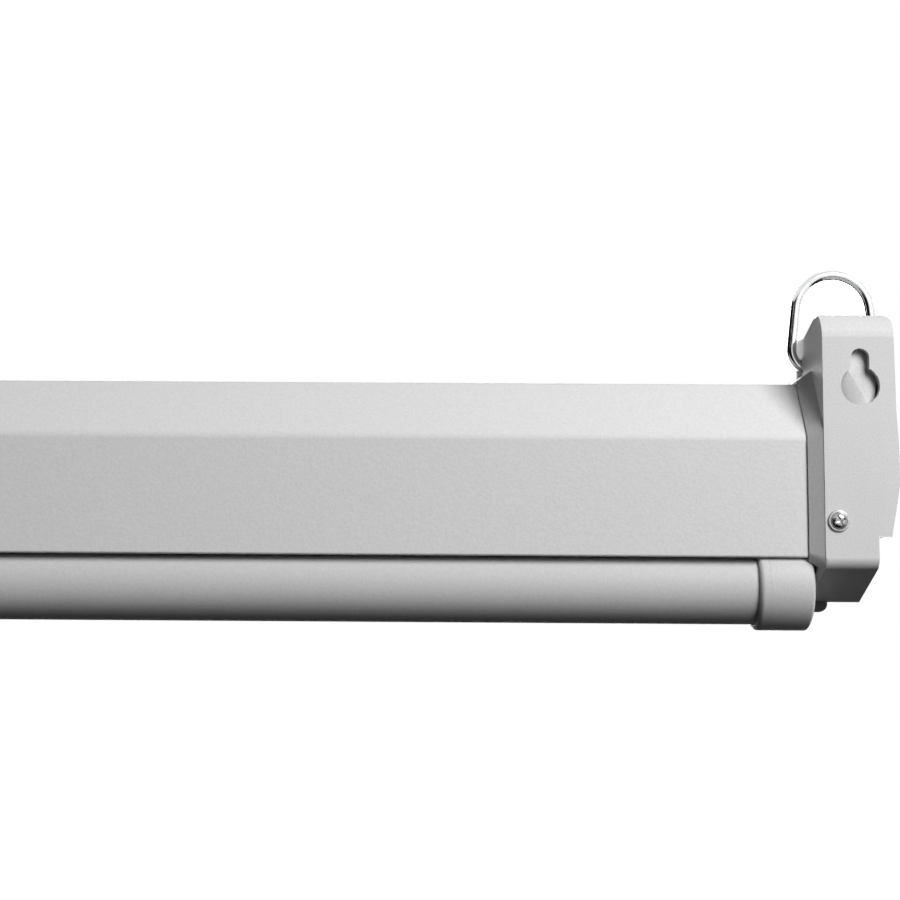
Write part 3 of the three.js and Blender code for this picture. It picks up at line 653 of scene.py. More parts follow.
@dataclass(frozen=True)
class PlatedWire:
    """Bright plating on drawn wire, with hair lines along it."""

    colour: Triple = (0.78, 0.785, 0.79)
    roughness: float = 0.13
    line_shape: Triple = (40, 5200, 1)
    haze: float = 140.0
    depth: float = 0.000004

    def material(self) -> Material:
        """The material."""
        g = Graph("plated_wire")
        uv = g.node("ShaderNodeUVMap", {"uv_map": "wire"})
        lines = g.noise(g.stretched(uv, self.line_shape), 1, 3, 0.6)
        haze = g.noise(g.place(), self.haze, 3)
        colour = g.mix(haze.ramp(0.35, 0.7), shade(self.colour, 0.93), shade(self.colour, 1.03))
        return g.finish(base_color=colour, metallic=1.0,
                        roughness=self.roughness + (lines - 0.5) * 0.08 + (haze - 0.5) * 0.08,
                        normal=g.bump(lines, self.depth))


@dataclass(frozen=True)
class PlatedSteel:
    """Zinc plating with its spangle, or plain oiled steel where it is darker."""

    name: str = "plated_steel"
    colour: Triple = (0.6, 0.605, 0.61)
    roughness: float = 0.3
    spangle: float = 260.0
    grain: float = 2200.0
    haze: float = 70.0
    depth: float = 0.00001

    def material(self) -> Material:
        """The material."""
        g = Graph(self.name)
        at = g.place()
        spots = g.cells(at, self.spangle)
        grain = g.noise(at, self.grain, 2)
        haze = g.noise(at, self.haze, 4)
        tone = (spots * 0.5 + haze * 0.5).ramp(0.25, 0.75)
        colour = g.mix(tone, shade(self.colour, 0.82), shade(self.colour, 1.08))
        return g.finish(base_color=colour, metallic=1.0,
                        roughness=self.roughness + (haze - 0.5) * 0.2 + (grain - 0.5) * 0.1,
                        normal=g.bump(grain * 0.6 + spots * 0.4, self.depth))


@dataclass(frozen=True)
class Rubber:
    """Black rubber with a dusty bloom."""

    colour: Triple = (0.032, 0.032, 0.034)
    roughness: float = 0.78
    gloss: float = 0.35
    grain: float = 1500.0
    bloom: float = 160.0
    depth: float = 0.00005

    def material(self) -> Material:
        """The material."""
        g = Graph("dark_rubber")
        at = g.place()
        grain = g.noise(at, self.grain, 3, 0.65)
        bloom = g.noise(at, self.bloom, 4).ramp(0.45, 0.75)
        colour = g.mix(bloom * 0.5, self.colour, shade(self.colour, 1.9))
        return g.finish(base_color=colour, roughness=self.roughness + (grain - 0.5) * 0.15,
                        specular_ior_level=self.gloss, normal=g.bump(grain, self.depth))


@dataclass(frozen=True)
class ScreenCloth:
    """Coated glass cloth: matt white inside a black border, with a black back."""

    name: str
    white: bool
    image_half: float = 609.5
    image_run: Pair = (-1e4, 1e4)
    blur: float = 0.2
    light: Triple = (0.83, 0.83, 0.82)
    dark: Triple = (0.022, 0.022, 0.023)
    threads: float = 300.0
    patch: float = 45.0
    roughness: float = 0.82
    gloss: float = 0.25
    depth: float = 0.00003

    def material(self) -> Material:
        """The material."""
        g = Graph(self.name)
        at = g.place()
        uv = g.node("ShaderNodeUVMap", {"uv_map": "cloth"})
        threads = {"Vector": at, "Scale": self.threads, "Distortion": 0.4, "Detail": 1.0}
        warp, weft = (g.node("ShaderNodeTexWave", {"wave_type": "BANDS", "bands_direction": axis}, threads)
                      for axis in "XZ")
        weave = warp * 0.5 + weft * 0.5
        patch = g.noise(at, self.patch, 3)
        tone = (weave * 0.5 + patch * 0.5).ramp(0.2, 0.8)
        colour = g.mix(tone, shade(self.dark, 0.8), shade(self.dark, 1.3))
        if self.white:
            white = g.mix(tone, shade(self.light, 0.97), shade(self.light, 1.02))
            across, run = (g.node("ShaderNodeSeparateXYZ", inputs=[uv], output=axis) for axis in "XY")
            edge = abs(across).ramp((self.image_half - self.blur) * MM, (self.image_half + self.blur) * MM)
            first, last = self.image_run
            inside = (1 - edge) * run.math("GREATER_THAN", first * MM) * run.math("LESS_THAN", last * MM)
            colour = g.mix(inside, colour, white)
        return g.finish(base_color=colour, roughness=self.roughness + (patch - 0.5) * 0.1,
                        specular_ior_level=self.gloss, normal=g.bump(weave, self.depth))


def finishes() -> dict[str, Material]:
    """Every finish by the record's slot name, and the cloth's faces by their own."""
    return {
        "coated_steel": PowderCoat().material(),
        # The case's coat is the bar's powder coat made lighter: painted light, so that the case reads
        # brighter than the bar under the same lamps.
        "case_coat": PowderCoat("case_coat", (0.69, 0.69, 0.69)).material(),
        "moulding": Moulding().material(),
        # The bar caps' moulding is the end caps' moulding made darker: painted shade on the bar caps.
        "cap_moulding": Moulding("cap_moulding", (0.57, 0.57, 0.57)).material(),
        "grip": Moulding("grip", (0.5, 0.5, 0.495), 0.5, 1900, 0.00004).material(),
        "nylon": Moulding("nylon", (0.72, 0.71, 0.66), 0.42, 1500, 0.00002).material(),
        "plated_wire": PlatedWire().material(),
        "plated_steel": PlatedSteel().material(),
        "screw_steel": PlatedSteel("screw_steel", (0.4, 0.4, 0.405), 0.26, 500).material(),
        "spring_steel": PlatedSteel("spring_steel", (0.2, 0.2, 0.205), 0.36, 420).material(),
        "dark_rubber": Rubber().material(),
        "cloth_face": ScreenCloth("cloth_face", True).material(),
        "cloth_back": ScreenCloth("cloth_back", False).material(),
    }


class Workshop:
    """Dresses pieces: material, slot, body and what they replace."""

    def __init__(self) -> None:
        """Makes the finishes."""
        self.materials = finishes()

    def dress(self, piece: Piece, slot: str, body: str | None, *nodes: str,
              looks: tuple[str, ...] = ()) -> None:
        """Gives a piece its finish and its body.

        Args:
            piece: The piece.
            slot: The record's material slot.
            body: The CAD body that it rides on, or None, which leaves it unattached.
            nodes: CAD nodes that it stands for.
            looks: Finishes by material index, where they aren't the slot's own.
        """
        for look in looks or (slot,):
            piece.data.materials.append(self.materials[look])
        if nodes:
            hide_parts(*nodes)
        if body:
            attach(piece, body)
        log.info("%s: %d faces, %s, rides on %s", piece.name, len(piece.data.polygons), slot, body)

    def keep(self, node: str, slot: str) -> None:
        """Gives a carried-over CAD node its finish.

        Args:
            node: The CAD node.
            slot: The record's material slot.
        """
        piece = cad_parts[node]
        for place in piece.material_slots:
            place.link = "OBJECT"
            place.material = self.materials[slot]
        log.info("%s: carried over, %s", node, slot)


# Sub-assemblies


@dataclass
class Case:
    """The roll-formed shell."""

    wall: float = 0.8
    hem_drop: float = 6.0
    hem_fold: float = 1.1
    hem_curl: float = 0.99
    back_hem: float = 5.0
    socket: float = 0.7
    crease_bend: float = 6.0
    bend: float = 3.4
    rear_bend: float = 1.4
    bend_steps: int = 10
    stations: int = 24

    def path(self) -> Array:
        """The sheet's middle line in Y and Z, from the front hem over the top to the rear flange.

        Returns:
            Its points.
        """
        mid = offset(LAYOUT.section(), -self.wall / 2)
        half = self.wall / 2
        inner_y = LAYOUT.face_y + self.wall + self.hem_fold - half
        corners = np.array([
            (inner_y, LAYOUT.lip_z + self.hem_drop),
            (inner_y, LAYOUT.lip_z + half),
            (mid[7][0], LAYOUT.lip_z + half),
            mid[7], mid[6], mid[5], mid[4], mid[3], mid[2],
            (mid[2][0], mid[2][1] + self.back_hem),
        ])
        fold = (inner_y - mid[7][0]) / 2 * self.hem_curl
        crease, bend = self.crease_bend, self.bend
        radii = np.array([0, fold, fold, crease, bend, bend, crease, bend, self.rear_bend, 0])
        return rounded(corners, radii, self.bend_steps, closed=False)

    def build(self, shop: Workshop) -> None:
        """Makes the shell."""
        end = LAYOUT.cap_x + self.socket
        piece = even_out(sheet_along("case_skin", self.path(), self.wall, end, self.stations))
        # The case wears a lighter copy of the bar's coated steel: painted light.
        shop.dress(piece, "coated_steel", "case", "case_shell", looks=("case_coat",))


@dataclass
class EndCaps:
    """The two mouldings, their rubber feet and their screws."""

    edge: float = 0.9
    broad: float = 3.2
    soft_span: float = 4.0
    soft_play: float = 1.2
    soft_near: float = 8.5
    soft_clear: float = 0.9
    foot_inset: float = 0.4
    foot_width: float = 7.4
    foot_depth: float = 22.0
    foot_height: float = 4.2
    foot_edge: float = 0.9
    foot_slope: float = 0.5
    foot_round: float = 2.4
    screw_offset: float = 5.3
    screw_z: float = -66.1
    band: tuple[tuple[float, float, float, float], ...] = (
        (-32.0, 29.5, -20.0, 29.32), (-34.0, 30.5, -37.0, 30.15),
        (-53.0, 30.5, -51.0, 30.15), (-55.0, 28.8, -59.0, 28.9))
    band_play: float = 0.05
    pocket_side: float = 3.1
    pocket_z: Pair = (-22.9, 11.9)
    fold_y: float = 3.0
    fold_slope: float = 0.06
    fold_fall: Pair = (0.1, 0.04)
    fold_tilt: float = math.radians(28.4)
    fold_shift: float = -3.15
    fold_margin: float = 0.4
    fold_thick: float = 0.8
    fold_edge: Triple = (22.5, -10.5, 0.2)

    def build(self, shop: Workshop) -> None:
        """Makes both ends."""
        for end in End:
            tag = end.name.lower()
            body = softened(f"end_cap_{tag}", f"end_moulding_{tag}", self.edge, segments=4, angle=25,
                            broad=self.is_soft, broad_width=self.broad, ease=self.eased)
            shop.dress(body, "moulding", "case")
            shop.dress(self.pocket(end), "moulding", "case")
            shop.dress(self.foot(end), "dark_rubber", "case", f"foot_{tag}")
            for side in Side:
                room = "room_" if side is Side.ROOM else ""
                screw = Screw(end, side, end.value * (LAYOUT.cap_x + self.screw_offset), self.screw_z)
                shop.dress(screw.build(), "plated_steel", "case", f"cap_screw_{room}{tag}",
                           looks=("screw_steel",))

    def pocket(self, end: End) -> Piece:
        """The folded floor behind the keyhole.

        At a distance d from a leaning crease its front is y = crest + slope d on the outer side
        and y = crest + a d + b d^2 on the inner side.

        Args:
            end: Which end.

        Returns:
            The piece.
        """
        u = np.concatenate([np.linspace(-1, 0, 13), np.linspace(0, 1, 13)[1:]])
        v = np.linspace(self.pocket_z[0], self.pocket_z[1], 25)
        uu, zz = np.meshgrid(u, v, indexing="ij")
        left, right = LAYOUT.cap_x + self.pocket_side, LAYOUT.cap_x + LAYOUT.cap_width - self.pocket_side
        lean = (zz - sum(self.pocket_z) / 2) * math.tan(self.fold_tilt)
        crease = np.maximum((left + right) / 2 + self.fold_shift - lean, left + self.fold_margin)
        edge_x, edge_z, edge_lean = self.fold_edge
        right = np.minimum(right, LAYOUT.cap_x + edge_x + (zz - edge_z) * edge_lean)
        xx = np.where(uu < 0, crease + uu * (crease - left), crease + uu * (right - crease))
        d = np.abs(xx - crease) * math.cos(self.fold_tilt)
        fall = np.where(uu < 0, self.fold_fall[0] * d + self.fold_fall[1] * d * d, self.fold_slope * d)
        front = np.stack([xx * end.value, self.fold_y + fall, zz], -1)
        back = front + np.array([0, self.fold_thick, 0])
        grid = quads(*uu.shape)
        n = uu.size
        index = np.arange(n).reshape(uu.shape)
        rim = np.concatenate([index[:, 0], index[-1, 1:], index[-2::-1, -1], index[0, -2:0:-1]])
        after = np.roll(rim, -1)
        walls = np.stack([rim, after, after + n, rim + n], 1)
        faces = np.concatenate([grid[:, ::-1], grid + n, walls])
        points = np.stack([front, back])
        return make_piece(f"keyhole_floor_{end.name.lower()}", points, faces.tolist(), smooth=8)

    def eased(self, point: Vector) -> Vector:
        """Spreads the outer side's band, so that the side swells gently.

        Args:
            point: A corner of the cap.

        Returns:
            Its new place, within the flat faces that it belongs to.
        """
        for level, reach, new_level, new_reach in self.band:
            if max(abs(point.z - level), abs(abs(point.x) - LAYOUT.cap_x - reach)) < self.band_play:
                return Vector((math.copysign(LAYOUT.cap_x + new_reach, point.x), point.y, new_level))
        return point.copy()

    def is_soft(self, a: Vector, b: Vector) -> bool:
        """Whether an edge runs along the cap's outer profile at a crease or a lower chamfer.

        Args:
            a: One end.
            b: The other end.

        Returns:
            True for the long edges there and the collar's short ones that carry them on.
        """
        reach = LAYOUT.cap_offset + self.soft_play
        along = abs(a.x - b.x) > self.soft_span
        flat = abs(a.y - b.y) < reach and abs(a.z - b.z) < reach
        spots = [(y, z) for y in (LAYOUT.face_y, LAYOUT.back_y) for z in (LAYOUT.lip_z, LAYOUT.crease_z)]
        clear = LAYOUT.back_y - LAYOUT.mid_y + self.soft_clear
        outside = min(abs(v.y - LAYOUT.mid_y) for v in (a, b)) > clear
        near = any(math.hypot(v.y - y, v.z - z) < self.soft_near for y, z in spots for v in (a, b))
        return along and flat and near and outside

    def foot(self, end: End) -> Piece:
        """A rubber pad whose outer side slopes in.

        At depth d + (h - d) sin t its outline is inset by r (1 - cos t), and its width from the
        inner side is scaled by 1 - k (1 - cos t).

        Args:
            end: Which end.

        Returns:
            The piece.
        """
        top = LAYOUT.bottom_z - LAYOUT.cap_offset
        x0 = LAYOUT.cap_x + self.foot_inset
        half = self.foot_depth / 2
        x1 = x0 + self.foot_width
        low, high = LAYOUT.mid_y - half, LAYOUT.mid_y + half
        base = rounded(np.array([(x0, low), (x1, low), (x1, high), (x0, high)]), self.foot_round)
        t = np.linspace(0, math.pi / 2, 12)
        drop = np.concatenate([[0], self.foot_edge + (self.foot_height - self.foot_edge) * np.sin(t)])
        curl = np.concatenate([[0], 1 - np.cos(t)])
        rows = [np.column_stack([offset(base, -self.foot_inset * c), np.full(len(base), top - d)])
                for d, c in zip(drop, curl)]
        points = np.array(rows)
        points[..., 0] = x0 + (points[..., 0] - x0) * (1 - self.foot_slope * curl[:, None])
        points[..., 0] *= end.value
        return make_piece(f"foot_pad_{end.name.lower()}", points, capped(len(rows), len(base)))


@dataclass
class Screw:
    """A pan-head screw with a flange and a cross recess."""

    end: End
    side: Side
    x: float
    z: float
    head: float = 4.35
    height: float = 2.2
    flange: float = 0.5
    lip: float = 0.3
    dome: float = 3.45
    wing: float = 2.3
    wing_half: float = 0.52
    recess: float = 1.5
    recess_wall: float = 0.16
    recess_rise: float = 0.3
    fine_to: float = 2.6
    coarse_from: float = 2.7
    shank: float = 1.95
    length: float = 13.0
    pitch: float = 1.4
    thread: float = 0.14
    point: float = 2.5
    blunt: float = 0.25
    tip: float = 0.4
    turn: float = math.radians(25)
    sides: int = 120
    rows: tuple[int, int, int] = (30, 16, 120)

    def cap_height(self, r: Array) -> Array:
        """Height of the head over its seat: a flange, then a dome h = f + (H - f)(1 - (r/d)^4).

        Args:
            r: Distance from the axis.

        Returns:
            Heights.
        """
        dome = self.flange + (self.height - self.flange) * (1 - np.clip(r / self.dome, 0, 1) ** 4)
        rim = np.clip((r - self.head + self.lip) / self.lip, 0, 1)
        return np.where(r < self.dome, dome, self.flange * np.sqrt(1 - rim ** 2))

    def cross_depth(self, x: Array, y: Array) -> Array:
        """Depth of the recess: two crossed boxes with sloping walls, deepest in the middle.

        Args:
            x: Place across the head.
            y: Place across the head.

        Returns:
            Depths.
        """
        a = np.minimum(self.wing_half - np.abs(x), self.wing - np.abs(y))
        b = np.minimum(self.wing_half - np.abs(y), self.wing - np.abs(x))
        inside = np.clip(np.maximum(a, b) / self.recess_wall, 0, 1)
        return self.recess * inside * (1 - self.recess_rise * np.hypot(x, y) / self.wing)

    def build(self) -> Piece:
        """Makes the screw, its head on the moulding's face and its thread inwards.

        It is a pile of rings from the middle of the head to the tip. The thread's radius is
        r (1 - thread s), with s a saw of the angle and the length, and it narrows to the point.

        Returns:
            The piece.
        """
        t = way_round(self.sides)[None]
        one = np.ones_like(t)
        fine, coarse, along = self.rows
        inner, outer = np.linspace(0, self.fine_to, fine), np.linspace(self.coarse_from, self.head, coarse)
        face = np.concatenate([inner, outer])[:, None] * one
        top = self.cap_height(face) - self.cross_depth(face * np.cos(t), face * np.sin(t))
        depth = np.linspace(0, self.length, along)[:, None] * one
        saw = np.abs((depth / self.pitch + t / TURN) % 1 * 2 - 1)
        thin = self.blunt + (1 - self.blunt) * np.clip((self.length - depth) / self.point, 0, 1)
        shaft = self.shank * (1 - self.thread * saw) * thin
        radius = np.concatenate([face, self.head * one, shaft, 0 * one])
        height = np.concatenate([top, 0 * one, -depth, -(self.length + self.tip) * one])
        seat = -LAYOUT.seat if self.side is Side.WALL else LAYOUT.back_y + LAYOUT.cap_offset + LAYOUT.seat
        across = arc((self.x, self.z), radius, t + self.turn)
        points = np.stack([across[..., 0], seat + self.side.value * height, across[..., 1]], -1)
        name = f"screw_{self.side.name.lower()}_{self.end.name.lower()}"
        return make_piece(name, points, quads(*height.shape, wrap_cols=True).tolist(), smooth=35,
                          weld=True)


@dataclass
class HangingRing:
    """A bent wire whose two ends butt inside the lug."""

    end: End
    wire: float = 4.1
    eye_z: float = 0.5
    top_z: float = 44.4
    side: float = 3.35
    corner: float = 11.0
    butt: float = 0.4
    dome: float = 0.86
    splay: float = math.radians(6.3)
    half_count: int = 160
    sides: int = 40

    def centre_line(self) -> Array:
        """Points along the wire in X and Z: two flats, two bends, two splayed legs and a bow.

        Returns:
            The whole line, from one butt end to the other.
        """
        bow = LAYOUT.cap_width / 2 + self.side - self.wire / 2
        bend = self.corner - self.wire / 2
        rise = self.top_z - self.wire / 2 - bow - self.eye_z - bend
        sin, cos = math.sin(self.splay), math.cos(self.splay)
        flat = (bow - bend + rise * sin) / cos
        leg = flat * sin + rise * cos
        parts = np.array([flat - self.butt / 2, bend * (math.pi / 2 + self.splay), leg,
                          bow * (math.pi / 2 - self.splay)])
        ends = np.cumsum(parts)
        s = np.linspace(0, ends[-1], self.half_count)
        turn1 = (s - ends[0]) / bend - math.pi / 2
        down = s - ends[1]
        turn2 = self.splay + (s - ends[2]) / bow
        where = [s <= end for end in ends[:3]]
        x = np.select(where, [self.butt / 2 + s, flat + bend * np.cos(turn1), flat + bend * cos - down * sin],
                      bow * np.cos(turn2))
        z = np.select(where, [0 * s, bend * (1 + np.sin(turn1)), bend * (1 + sin) + down * cos],
                      bend + rise + bow * np.sin(turn2))
        half = np.stack([x, z], 1)
        return np.concatenate([half, (half * (-1, 1))[-2::-1]])

    def build(self) -> Piece:
        """Makes the ring, its cut ends slightly domed.

        Returns:
            The piece.
        """
        line = self.centre_line()
        middle = self.end.value * (LAYOUT.cap_x + LAYOUT.cap_width / 2)
        path = np.stack([middle + line[:, 0], 0 * line[:, 0] + LAYOUT.mid_y, self.eye_z + line[:, 1]], 1)
        radius = np.full(len(path), self.wire / 2)
        radius[[0, -1]] *= self.dome
        return swept(f"ring_wire_{self.end.name.lower()}", path, radius, self.sides, (0, 1, 0))


@dataclass
class Roller:
    """Tube, plugs and the torsion spring, with the cloth wound on the tube."""

    inner: float = 19.38
    outer: float = 22.2
    turns: float = 9.0
    cloth: float = 0.27
    leave: float = math.radians(183.5)
    spring_x0: float = -346.6
    spring_x1: float = -621.8
    coil: float = 12.5
    coil_turns: int = 24
    spring_wire: float = 2.0
    spring_sides: int = 14
    turn_steps: int = 64
    coil_steps: int = 36
    stations: int = 7

    def build(self, shop: Workshop) -> None:
        """Makes the wound cloth and the spring, and dresses the rest."""
        shop.dress(self.wound(), "screen_cloth", "roller", "wound_fabric", looks=("cloth_back", "cloth_face"))
        shop.dress(self.spring(), "spring_steel", "case", "torsion_spring")
        kept = {"plated_steel": ("roller_tube", "idler_pin", "pawl_pin", "lock_pawl", "lock_wheel",
                                 "spring_mandrel", "idler_bracket", "spring_bracket"),
                "nylon": ("fabric_spline", "idler_plug", "spring_plug", "spring_anchor", "idler_bush")}
        for slot, nodes in kept.items():
            for node in nodes:
                shop.keep(node, slot)

    def length(self) -> float:
        """Length of the wound cloth: turns times the mean way round."""
        return self.turns * TURN * (self.inner + self.outer) / 2

    def wound(self) -> Piece:
        """The cloth on the tube: a spiral r = inner + (outer - inner) t.

        Returns:
            The piece.
        """
        t = np.linspace(0, 1, int(self.turns * self.turn_steps) + 1)
        radius = self.inner + (self.outer - self.inner) * t
        angle = self.leave - (1 - t) * self.turns * TURN
        path = arc(LAYOUT.roller, radius, angle)
        piece = sheet_along("cloth_roll", path, self.cloth, LAYOUT.fabric_width / 2, self.stations,
                            faced=True)
        self.length() * MM
        return piece

    def spring(self) -> Piece:
        """The torsion spring: a helix (x0 + (x1 - x0) s, R cos a, R sin a).

        Returns:
            The piece.
        """
        s = np.linspace(0, 1, self.coil_turns * self.coil_steps + 1)
        path = np.column_stack([self.spring_x0 + (self.spring_x1 - self.spring_x0) * s,
                                arc(LAYOUT.roller, self.coil, s * self.coil_turns * TURN)])
        return swept("spring_coil", path, self.spring_wire / 2, self.spring_sides, (1, 0, 0))


@dataclass
class SlatBar:
    """The weight bar, its caps and the cloth that hangs to it."""

    radius: float = 15.3
    wall: float = 1.2
    slot: float = 3.0
    cap_radius: float = 17.7
    cap_length: float = 23.2
    cap_end: float = 3.0
    cap_dome: Pair = (2.4, 7.5)
    cap_chamfer: float = 2.0
    cap_lead: float = 0.15
    parting_at: float = 2.3
    parting: tuple[Pair, ...] = ((-0.12, 0), (-0.04, 0.1), (0.04, 0.1), (0.12, 0.02))
    end_gap: float = 2.3
    hem_rod: float = 2.6
    hem_drop: float = 4.6
    hem_neck: float = 1.55
    hem_tail: Pair = (-1.3, -0.2)
    cloth: float = 0.27
    image_run: Pair = (0.134, 0.884)
    sides: int = 160
    cap_sides: int = 128
    cap_steps: int = 14
    loop_steps: int = 40
    drop_steps: int = 90
    stations: int = 24
    cloth_stations: int = 31

    def build(self, shop: Workshop, roller: Roller) -> None:
        """Makes the bar.

        Args:
            shop: Where the finishes are.
            roller: What the cloth leaves from.
        """
        shop.dress(self.tube(), "coated_steel", "slat_bar", "bar_tube")
        for end in End:
            # The caps wear a darker copy of the end caps' moulding: painted shade.
            shop.dress(self.cap(end), "moulding", "slat_bar", f"bar_cap_{end.name.lower()}",
                       looks=("cap_moulding",))
        shop.keep("hem_rod", "plated_steel")
        shop.dress(self.strip(shop, roller), "screen_cloth", None, "screen_fabric",
                   looks=("cloth_back", "cloth_drop_face"))

    def tube(self) -> Piece:
        """A rolled tube, open along its top for the cloth.

        Returns:
            The piece.
        """
        mid = self.radius - self.wall / 2
        gap = math.asin(self.slot / 2 / mid)
        t = math.pi / 2 + gap + np.linspace(0, TURN - 2 * gap, self.sides + 1)
        end = LAYOUT.cap_x - self.end_gap - self.cap_end - LAYOUT.seat
        return sheet_along("bar_skin", arc(LAYOUT.bar, mid, t), self.wall, end, self.stations, smooth=40)

    def cap(self, end: End) -> Piece:
        """A moulded cap: a rounded rim, a parting line, and a domed end.

        Args:
            end: Which end.

        Returns:
            The piece.
        """
        x1 = LAYOUT.cap_x - self.end_gap
        x0 = x1 - self.cap_length
        bore = self.radius + LAYOUT.seat
        outer = self.cap_radius
        t = np.linspace(math.pi / 2, 0, self.cap_steps)
        rim = self.cap_chamfer
        deep, high = self.cap_dome
        profile = np.array([
            (x0 + self.cap_lead, bore),
            *[(x0 + rim * (1 - math.cos(a)), outer - rim + rim * math.sin(a)) for a in t[::-1]],
            *[(x0 + rim + self.parting_at + x, outer - drop) for x, drop in self.parting],
            *[(x1 - deep * (1 - math.cos(a)), outer - high * (1 - math.sin(a))) for a in t],
            (x1, 0), (x1 - self.cap_end, 0), (x1 - self.cap_end, bore)])
        profile[:, 0] *= end.value
        return turned(f"bar_end_{end.name.lower()}", profile, LAYOUT.bar, self.cap_sides, smooth=28)

    def strip(self, shop: Workshop, roller: Roller) -> Piece:
        """The cloth from the roll down into the bar and round the hem rod.

        It leaves the roll on a tangent, runs straight to the bar's slot and ends in a hem loop.

        Args:
            shop: Where the finishes are.
            roller: What the cloth leaves from.

        Returns:
            The piece.
        """
        start = arc(LAYOUT.roller, roller.outer, roller.leave)
        bar_y, bar_z = LAYOUT.bar
        top = np.array([bar_y, bar_z + self.radius])
        rod_z = bar_z + self.radius - self.wall - self.hem_drop
        loop = self.hem_rod + self.cloth
        neck = np.array([bar_y, rod_z + loop * self.hem_neck])
        reach = math.acos(1 / self.hem_neck)
        t = np.linspace(math.pi / 2 - reach, -1.5 * math.pi + reach, self.loop_steps)
        circle = arc((bar_y, rod_z), loop, t)
        straight = start + (top - start) * np.linspace(0, 1, self.drop_steps)[:, None]
        tail = neck + (self.cloth * self.hem_tail[0], self.hem_tail[1])
        path = np.concatenate([straight, neck[None], circle, tail[None]])
        piece = sheet_along("cloth_drop", path, self.cloth, LAYOUT.fabric_width / 2,
                            self.cloth_stations, faced=True)
        drop = float(np.linalg.norm(top - start))
        image = (self.image_run[0] * drop, self.image_run[1] * drop)
        shop.materials["cloth_drop_face"] = ScreenCloth("cloth_drop_face", True, image_run=image).material()
        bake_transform(piece)
        return piece


@dataclass
class Handle:
    """The clip, the pin and the pull handle under the bar's middle."""

    edge: float = 0.8
    grip_edge: float = 1.6

    def build(self, shop: Workshop) -> None:
        """Makes them."""
        shop.dress(softened("handle_clip", "clip_moulding", self.edge), "moulding", "slat_bar")
        shop.keep("handle_pin", "plated_steel")
        shop.dress(softened("pull_handle", "pull_grip", self.grip_edge, segments=4), "grip", "handle")


# Stage


def staged(name: str, points: list, faces: list, graph: Graph) -> Piece:
    """A stage object from points in metres.

    Args:
        name: Its name.
        points: X, Y and Z of each point.
        faces: Index lists.
        graph: The graph of its finish.

    Returns:
        The new object.
    """
    mesh = bpy.data.meshes.new(name)
    mesh.from_pydata(points, [], faces)
    mesh.materials.append(graph.owner)
    made = linked(name, mesh)
    return made


@dataclass
class Lamp:
    """A soft lamp: its place, aim and size in metres, its power in watts and its spread."""

    name: str
    place: Triple
    aim: Triple
    size: float
    power: float
    spread: float = math.pi

    def build(self) -> None:
        """Makes the lamp."""
        data = bpy.data.lights.new(self.name, "AREA")
        data.shape = "SQUARE"
        data.size = self.size
        data.energy = self.power
        data.spread = self.spread
        lamp = linked(self.name, data)
        lamp.location = self.place
        look = Vector(self.aim) - Vector(self.place)
        lamp.rotation_euler = look.to_track_quat("-Z", "Y").to_euler()


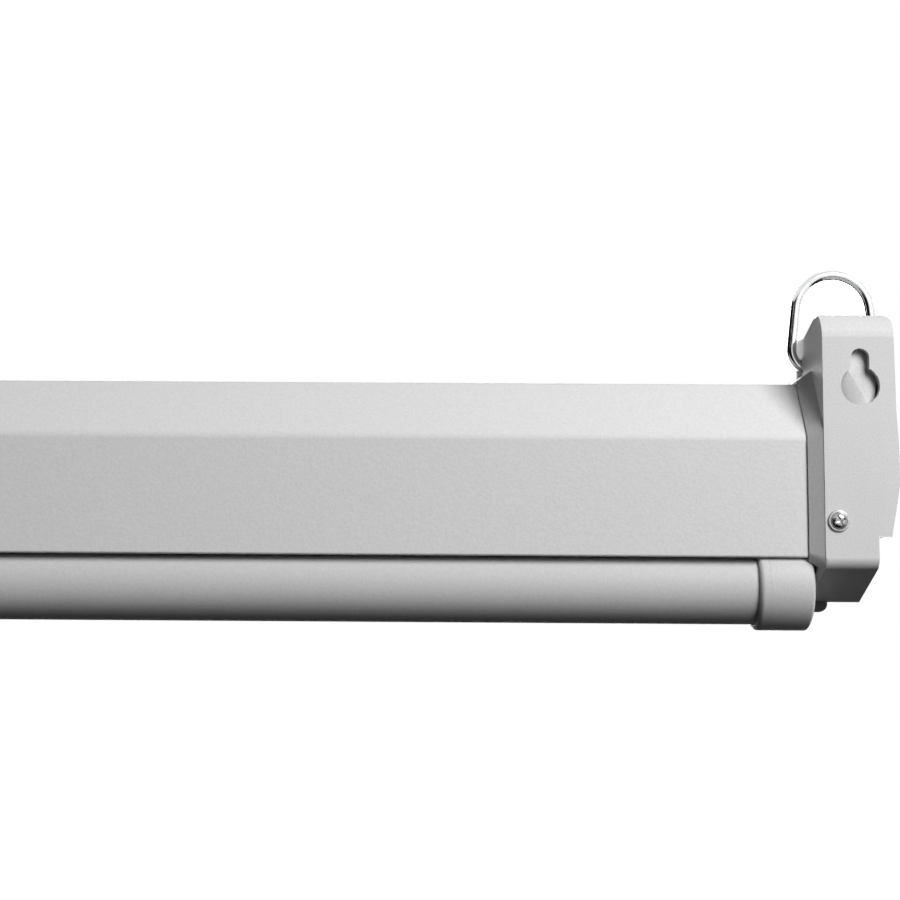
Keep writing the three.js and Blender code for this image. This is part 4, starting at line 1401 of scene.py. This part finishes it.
@dataclass
class Studio:
    """Camera, lamps, world and floor."""

    lens: float = 1403.254
    centre: float = 449.0523
    picture: float = 900.0
    sensor: float = 36.0
    clip: Pair = (0.01, 60.0)
    place: Triple = (0.5121313, -0.5624197, -0.0919154)
    yaw: float = -0.0078344
    pitch: float = 0.0953686
    roll: float = 0.0066091
    floor_z: float = -1.3
    fill: float = 0.04
    floor_half: float = 12.0
    ground: float = 0.08
    ground_seen: float = 0.8
    glow: float = 0.78
    glow_reach: Pair = (1.0, 3.2)
    flag_radius: float = 2.6
    flag_from: float = math.radians(-104)
    flag_to: float = math.radians(-245)
    flag_heights: Pair = (-1.25, 1.5)

    def build(self) -> None:
        """Makes the stage."""
        self.camera()
        self.world()
        self.floor()
        middle = (0.45, 0.0, -0.05)
        for lamp in (
            Lamp("key_high", (1.2, -0.95, 0.78), (0.62, 0, -0.05), 0.75, 6.9, math.radians(100)),
            Lamp("key_side", (1.3, -1.0, 0.3), middle, 0.46, 3.4),
            Lamp("far_end", (-1.25, -1.1, 0.6), (-0.62, 0, -0.05), 0.5, 2.6, math.radians(52)),
            Lamp("room", (1.0, 2.8, 0.2), (0, 0.05, -0.3), 1.6, 95.0),
        ):
            lamp.build()
        self.flag()
        bpy.context.scene.view_settings.view_transform = "Standard"

    def camera(self) -> None:
        """Makes the camera that was fitted to the photograph, lens and centre in picture points."""
        data = bpy.data.cameras.new("camera")
        data.sensor_width = self.sensor
        data.lens = self.lens * self.sensor / self.picture
        data.shift_y = self.centre / self.picture - 0.5
        data.clip_start, data.clip_end = self.clip
        ahead = Vector((math.sin(self.yaw) * math.cos(self.pitch), math.cos(self.yaw) * math.cos(self.pitch),
                        math.sin(self.pitch)))
        right = Vector((math.cos(self.yaw), -math.sin(self.yaw), 0))
        up = right.cross(ahead)
        right, up = (right * math.cos(self.roll) + up * math.sin(self.roll),
                     up * math.cos(self.roll) - right * math.sin(self.roll))
        axes = Matrix((right, up, -ahead)).transposed().to_4x4()
        camera = linked("camera", data)
        camera.matrix_world = Matrix.Translation(Vector(self.place)) @ axes
        bpy.context.scene.camera = camera

    def world(self) -> None:
        """A white backdrop for the camera and for gloss, and a soft fill for the rest."""
        white = (1.0, 1.0, 1.0)
        g = Graph("studio", world=True)
        bpy.context.scene.world = g.finish(color=white, strength=1.0)
        soft = g.node("ShaderNodeBackground", inputs={"Color": white, "Strength": self.fill})
        both = g.node("ShaderNodeMixShader", inputs=[g.seen(), soft, Wire(g, g.shader.outputs[0])])
        g.plug(g.tree.nodes["World Output"].inputs["Surface"], both)

    def flag(self) -> None:
        """Dark cards that only gloss sees, for the dark flanks and undersides of plated parts.

        A round wall stands to the left and a disc lies below.
        """
        angles = np.linspace(self.flag_from, self.flag_to, 40)
        wall, disc = (arc((self.place[0], 0), self.flag_radius, t) for t in (angles, way_round(64)))
        low, high = self.flag_heights
        points = [(x, y, z) for path, z in ((wall, low), (wall, high), (disc, low)) for x, y in path.tolist()]
        faces = quads(2, len(wall)).tolist() + [list(range(2 * len(wall), len(points)))]
        g = Graph("flag")
        g.finish(base_color=(0.02,) * 3, roughness=1.0, specular_ior_level=0.0)
        flag = staged("flag", points, faces, g)
        flag.visible_camera = flag.visible_diffuse = flag.visible_shadow = flag.visible_transmission = False

    def floor(self) -> None:
        """A plain pale floor: white to the camera with the object's shadow, dim to the object."""
        half = self.floor_half
        corners = [(x * half, y * half, self.floor_z) for x, y in ((-1, -1), (1, -1), (1, 1), (-1, 1))]
        g = Graph("floor")
        seen = g.seen()
        tone = g.mix(seen, (self.ground,) * 3, (self.ground_seen,) * 3)
        away = g.node("ShaderNodeVectorMath", {"operation": "LENGTH"}, [g.place()], "Value")
        bright = g.mix(away.ramp(*self.glow_reach), (self.glow,) * 3, (1.0,) * 3)
        g.finish(base_color=tone, emission_color=g.mix(seen, (0.0,) * 3, bright), emission_strength=1.0,
                 roughness=0.9, specular_ior_level=0.0)
        staged("floor", corners, [(0, 1, 2, 3)], g)


def main() -> None:
    """Builds the screen and its stage."""
    logging.basicConfig(level=logging.INFO, format="%(message)s")
    Studio().build()
    shop = Workshop()
    Case().build(shop)
    EndCaps().build(shop)
    for end in End:
        tag = end.name.lower()
        shop.dress(HangingRing(end).build(), "plated_wire", f"ring_{tag}", f"hanging_ring_{tag}")
    roller = Roller()
    roller.build(shop)
    SlatBar().build(shop, roller)
    Handle().build(shop)


if __name__ == "__main__":
    main()
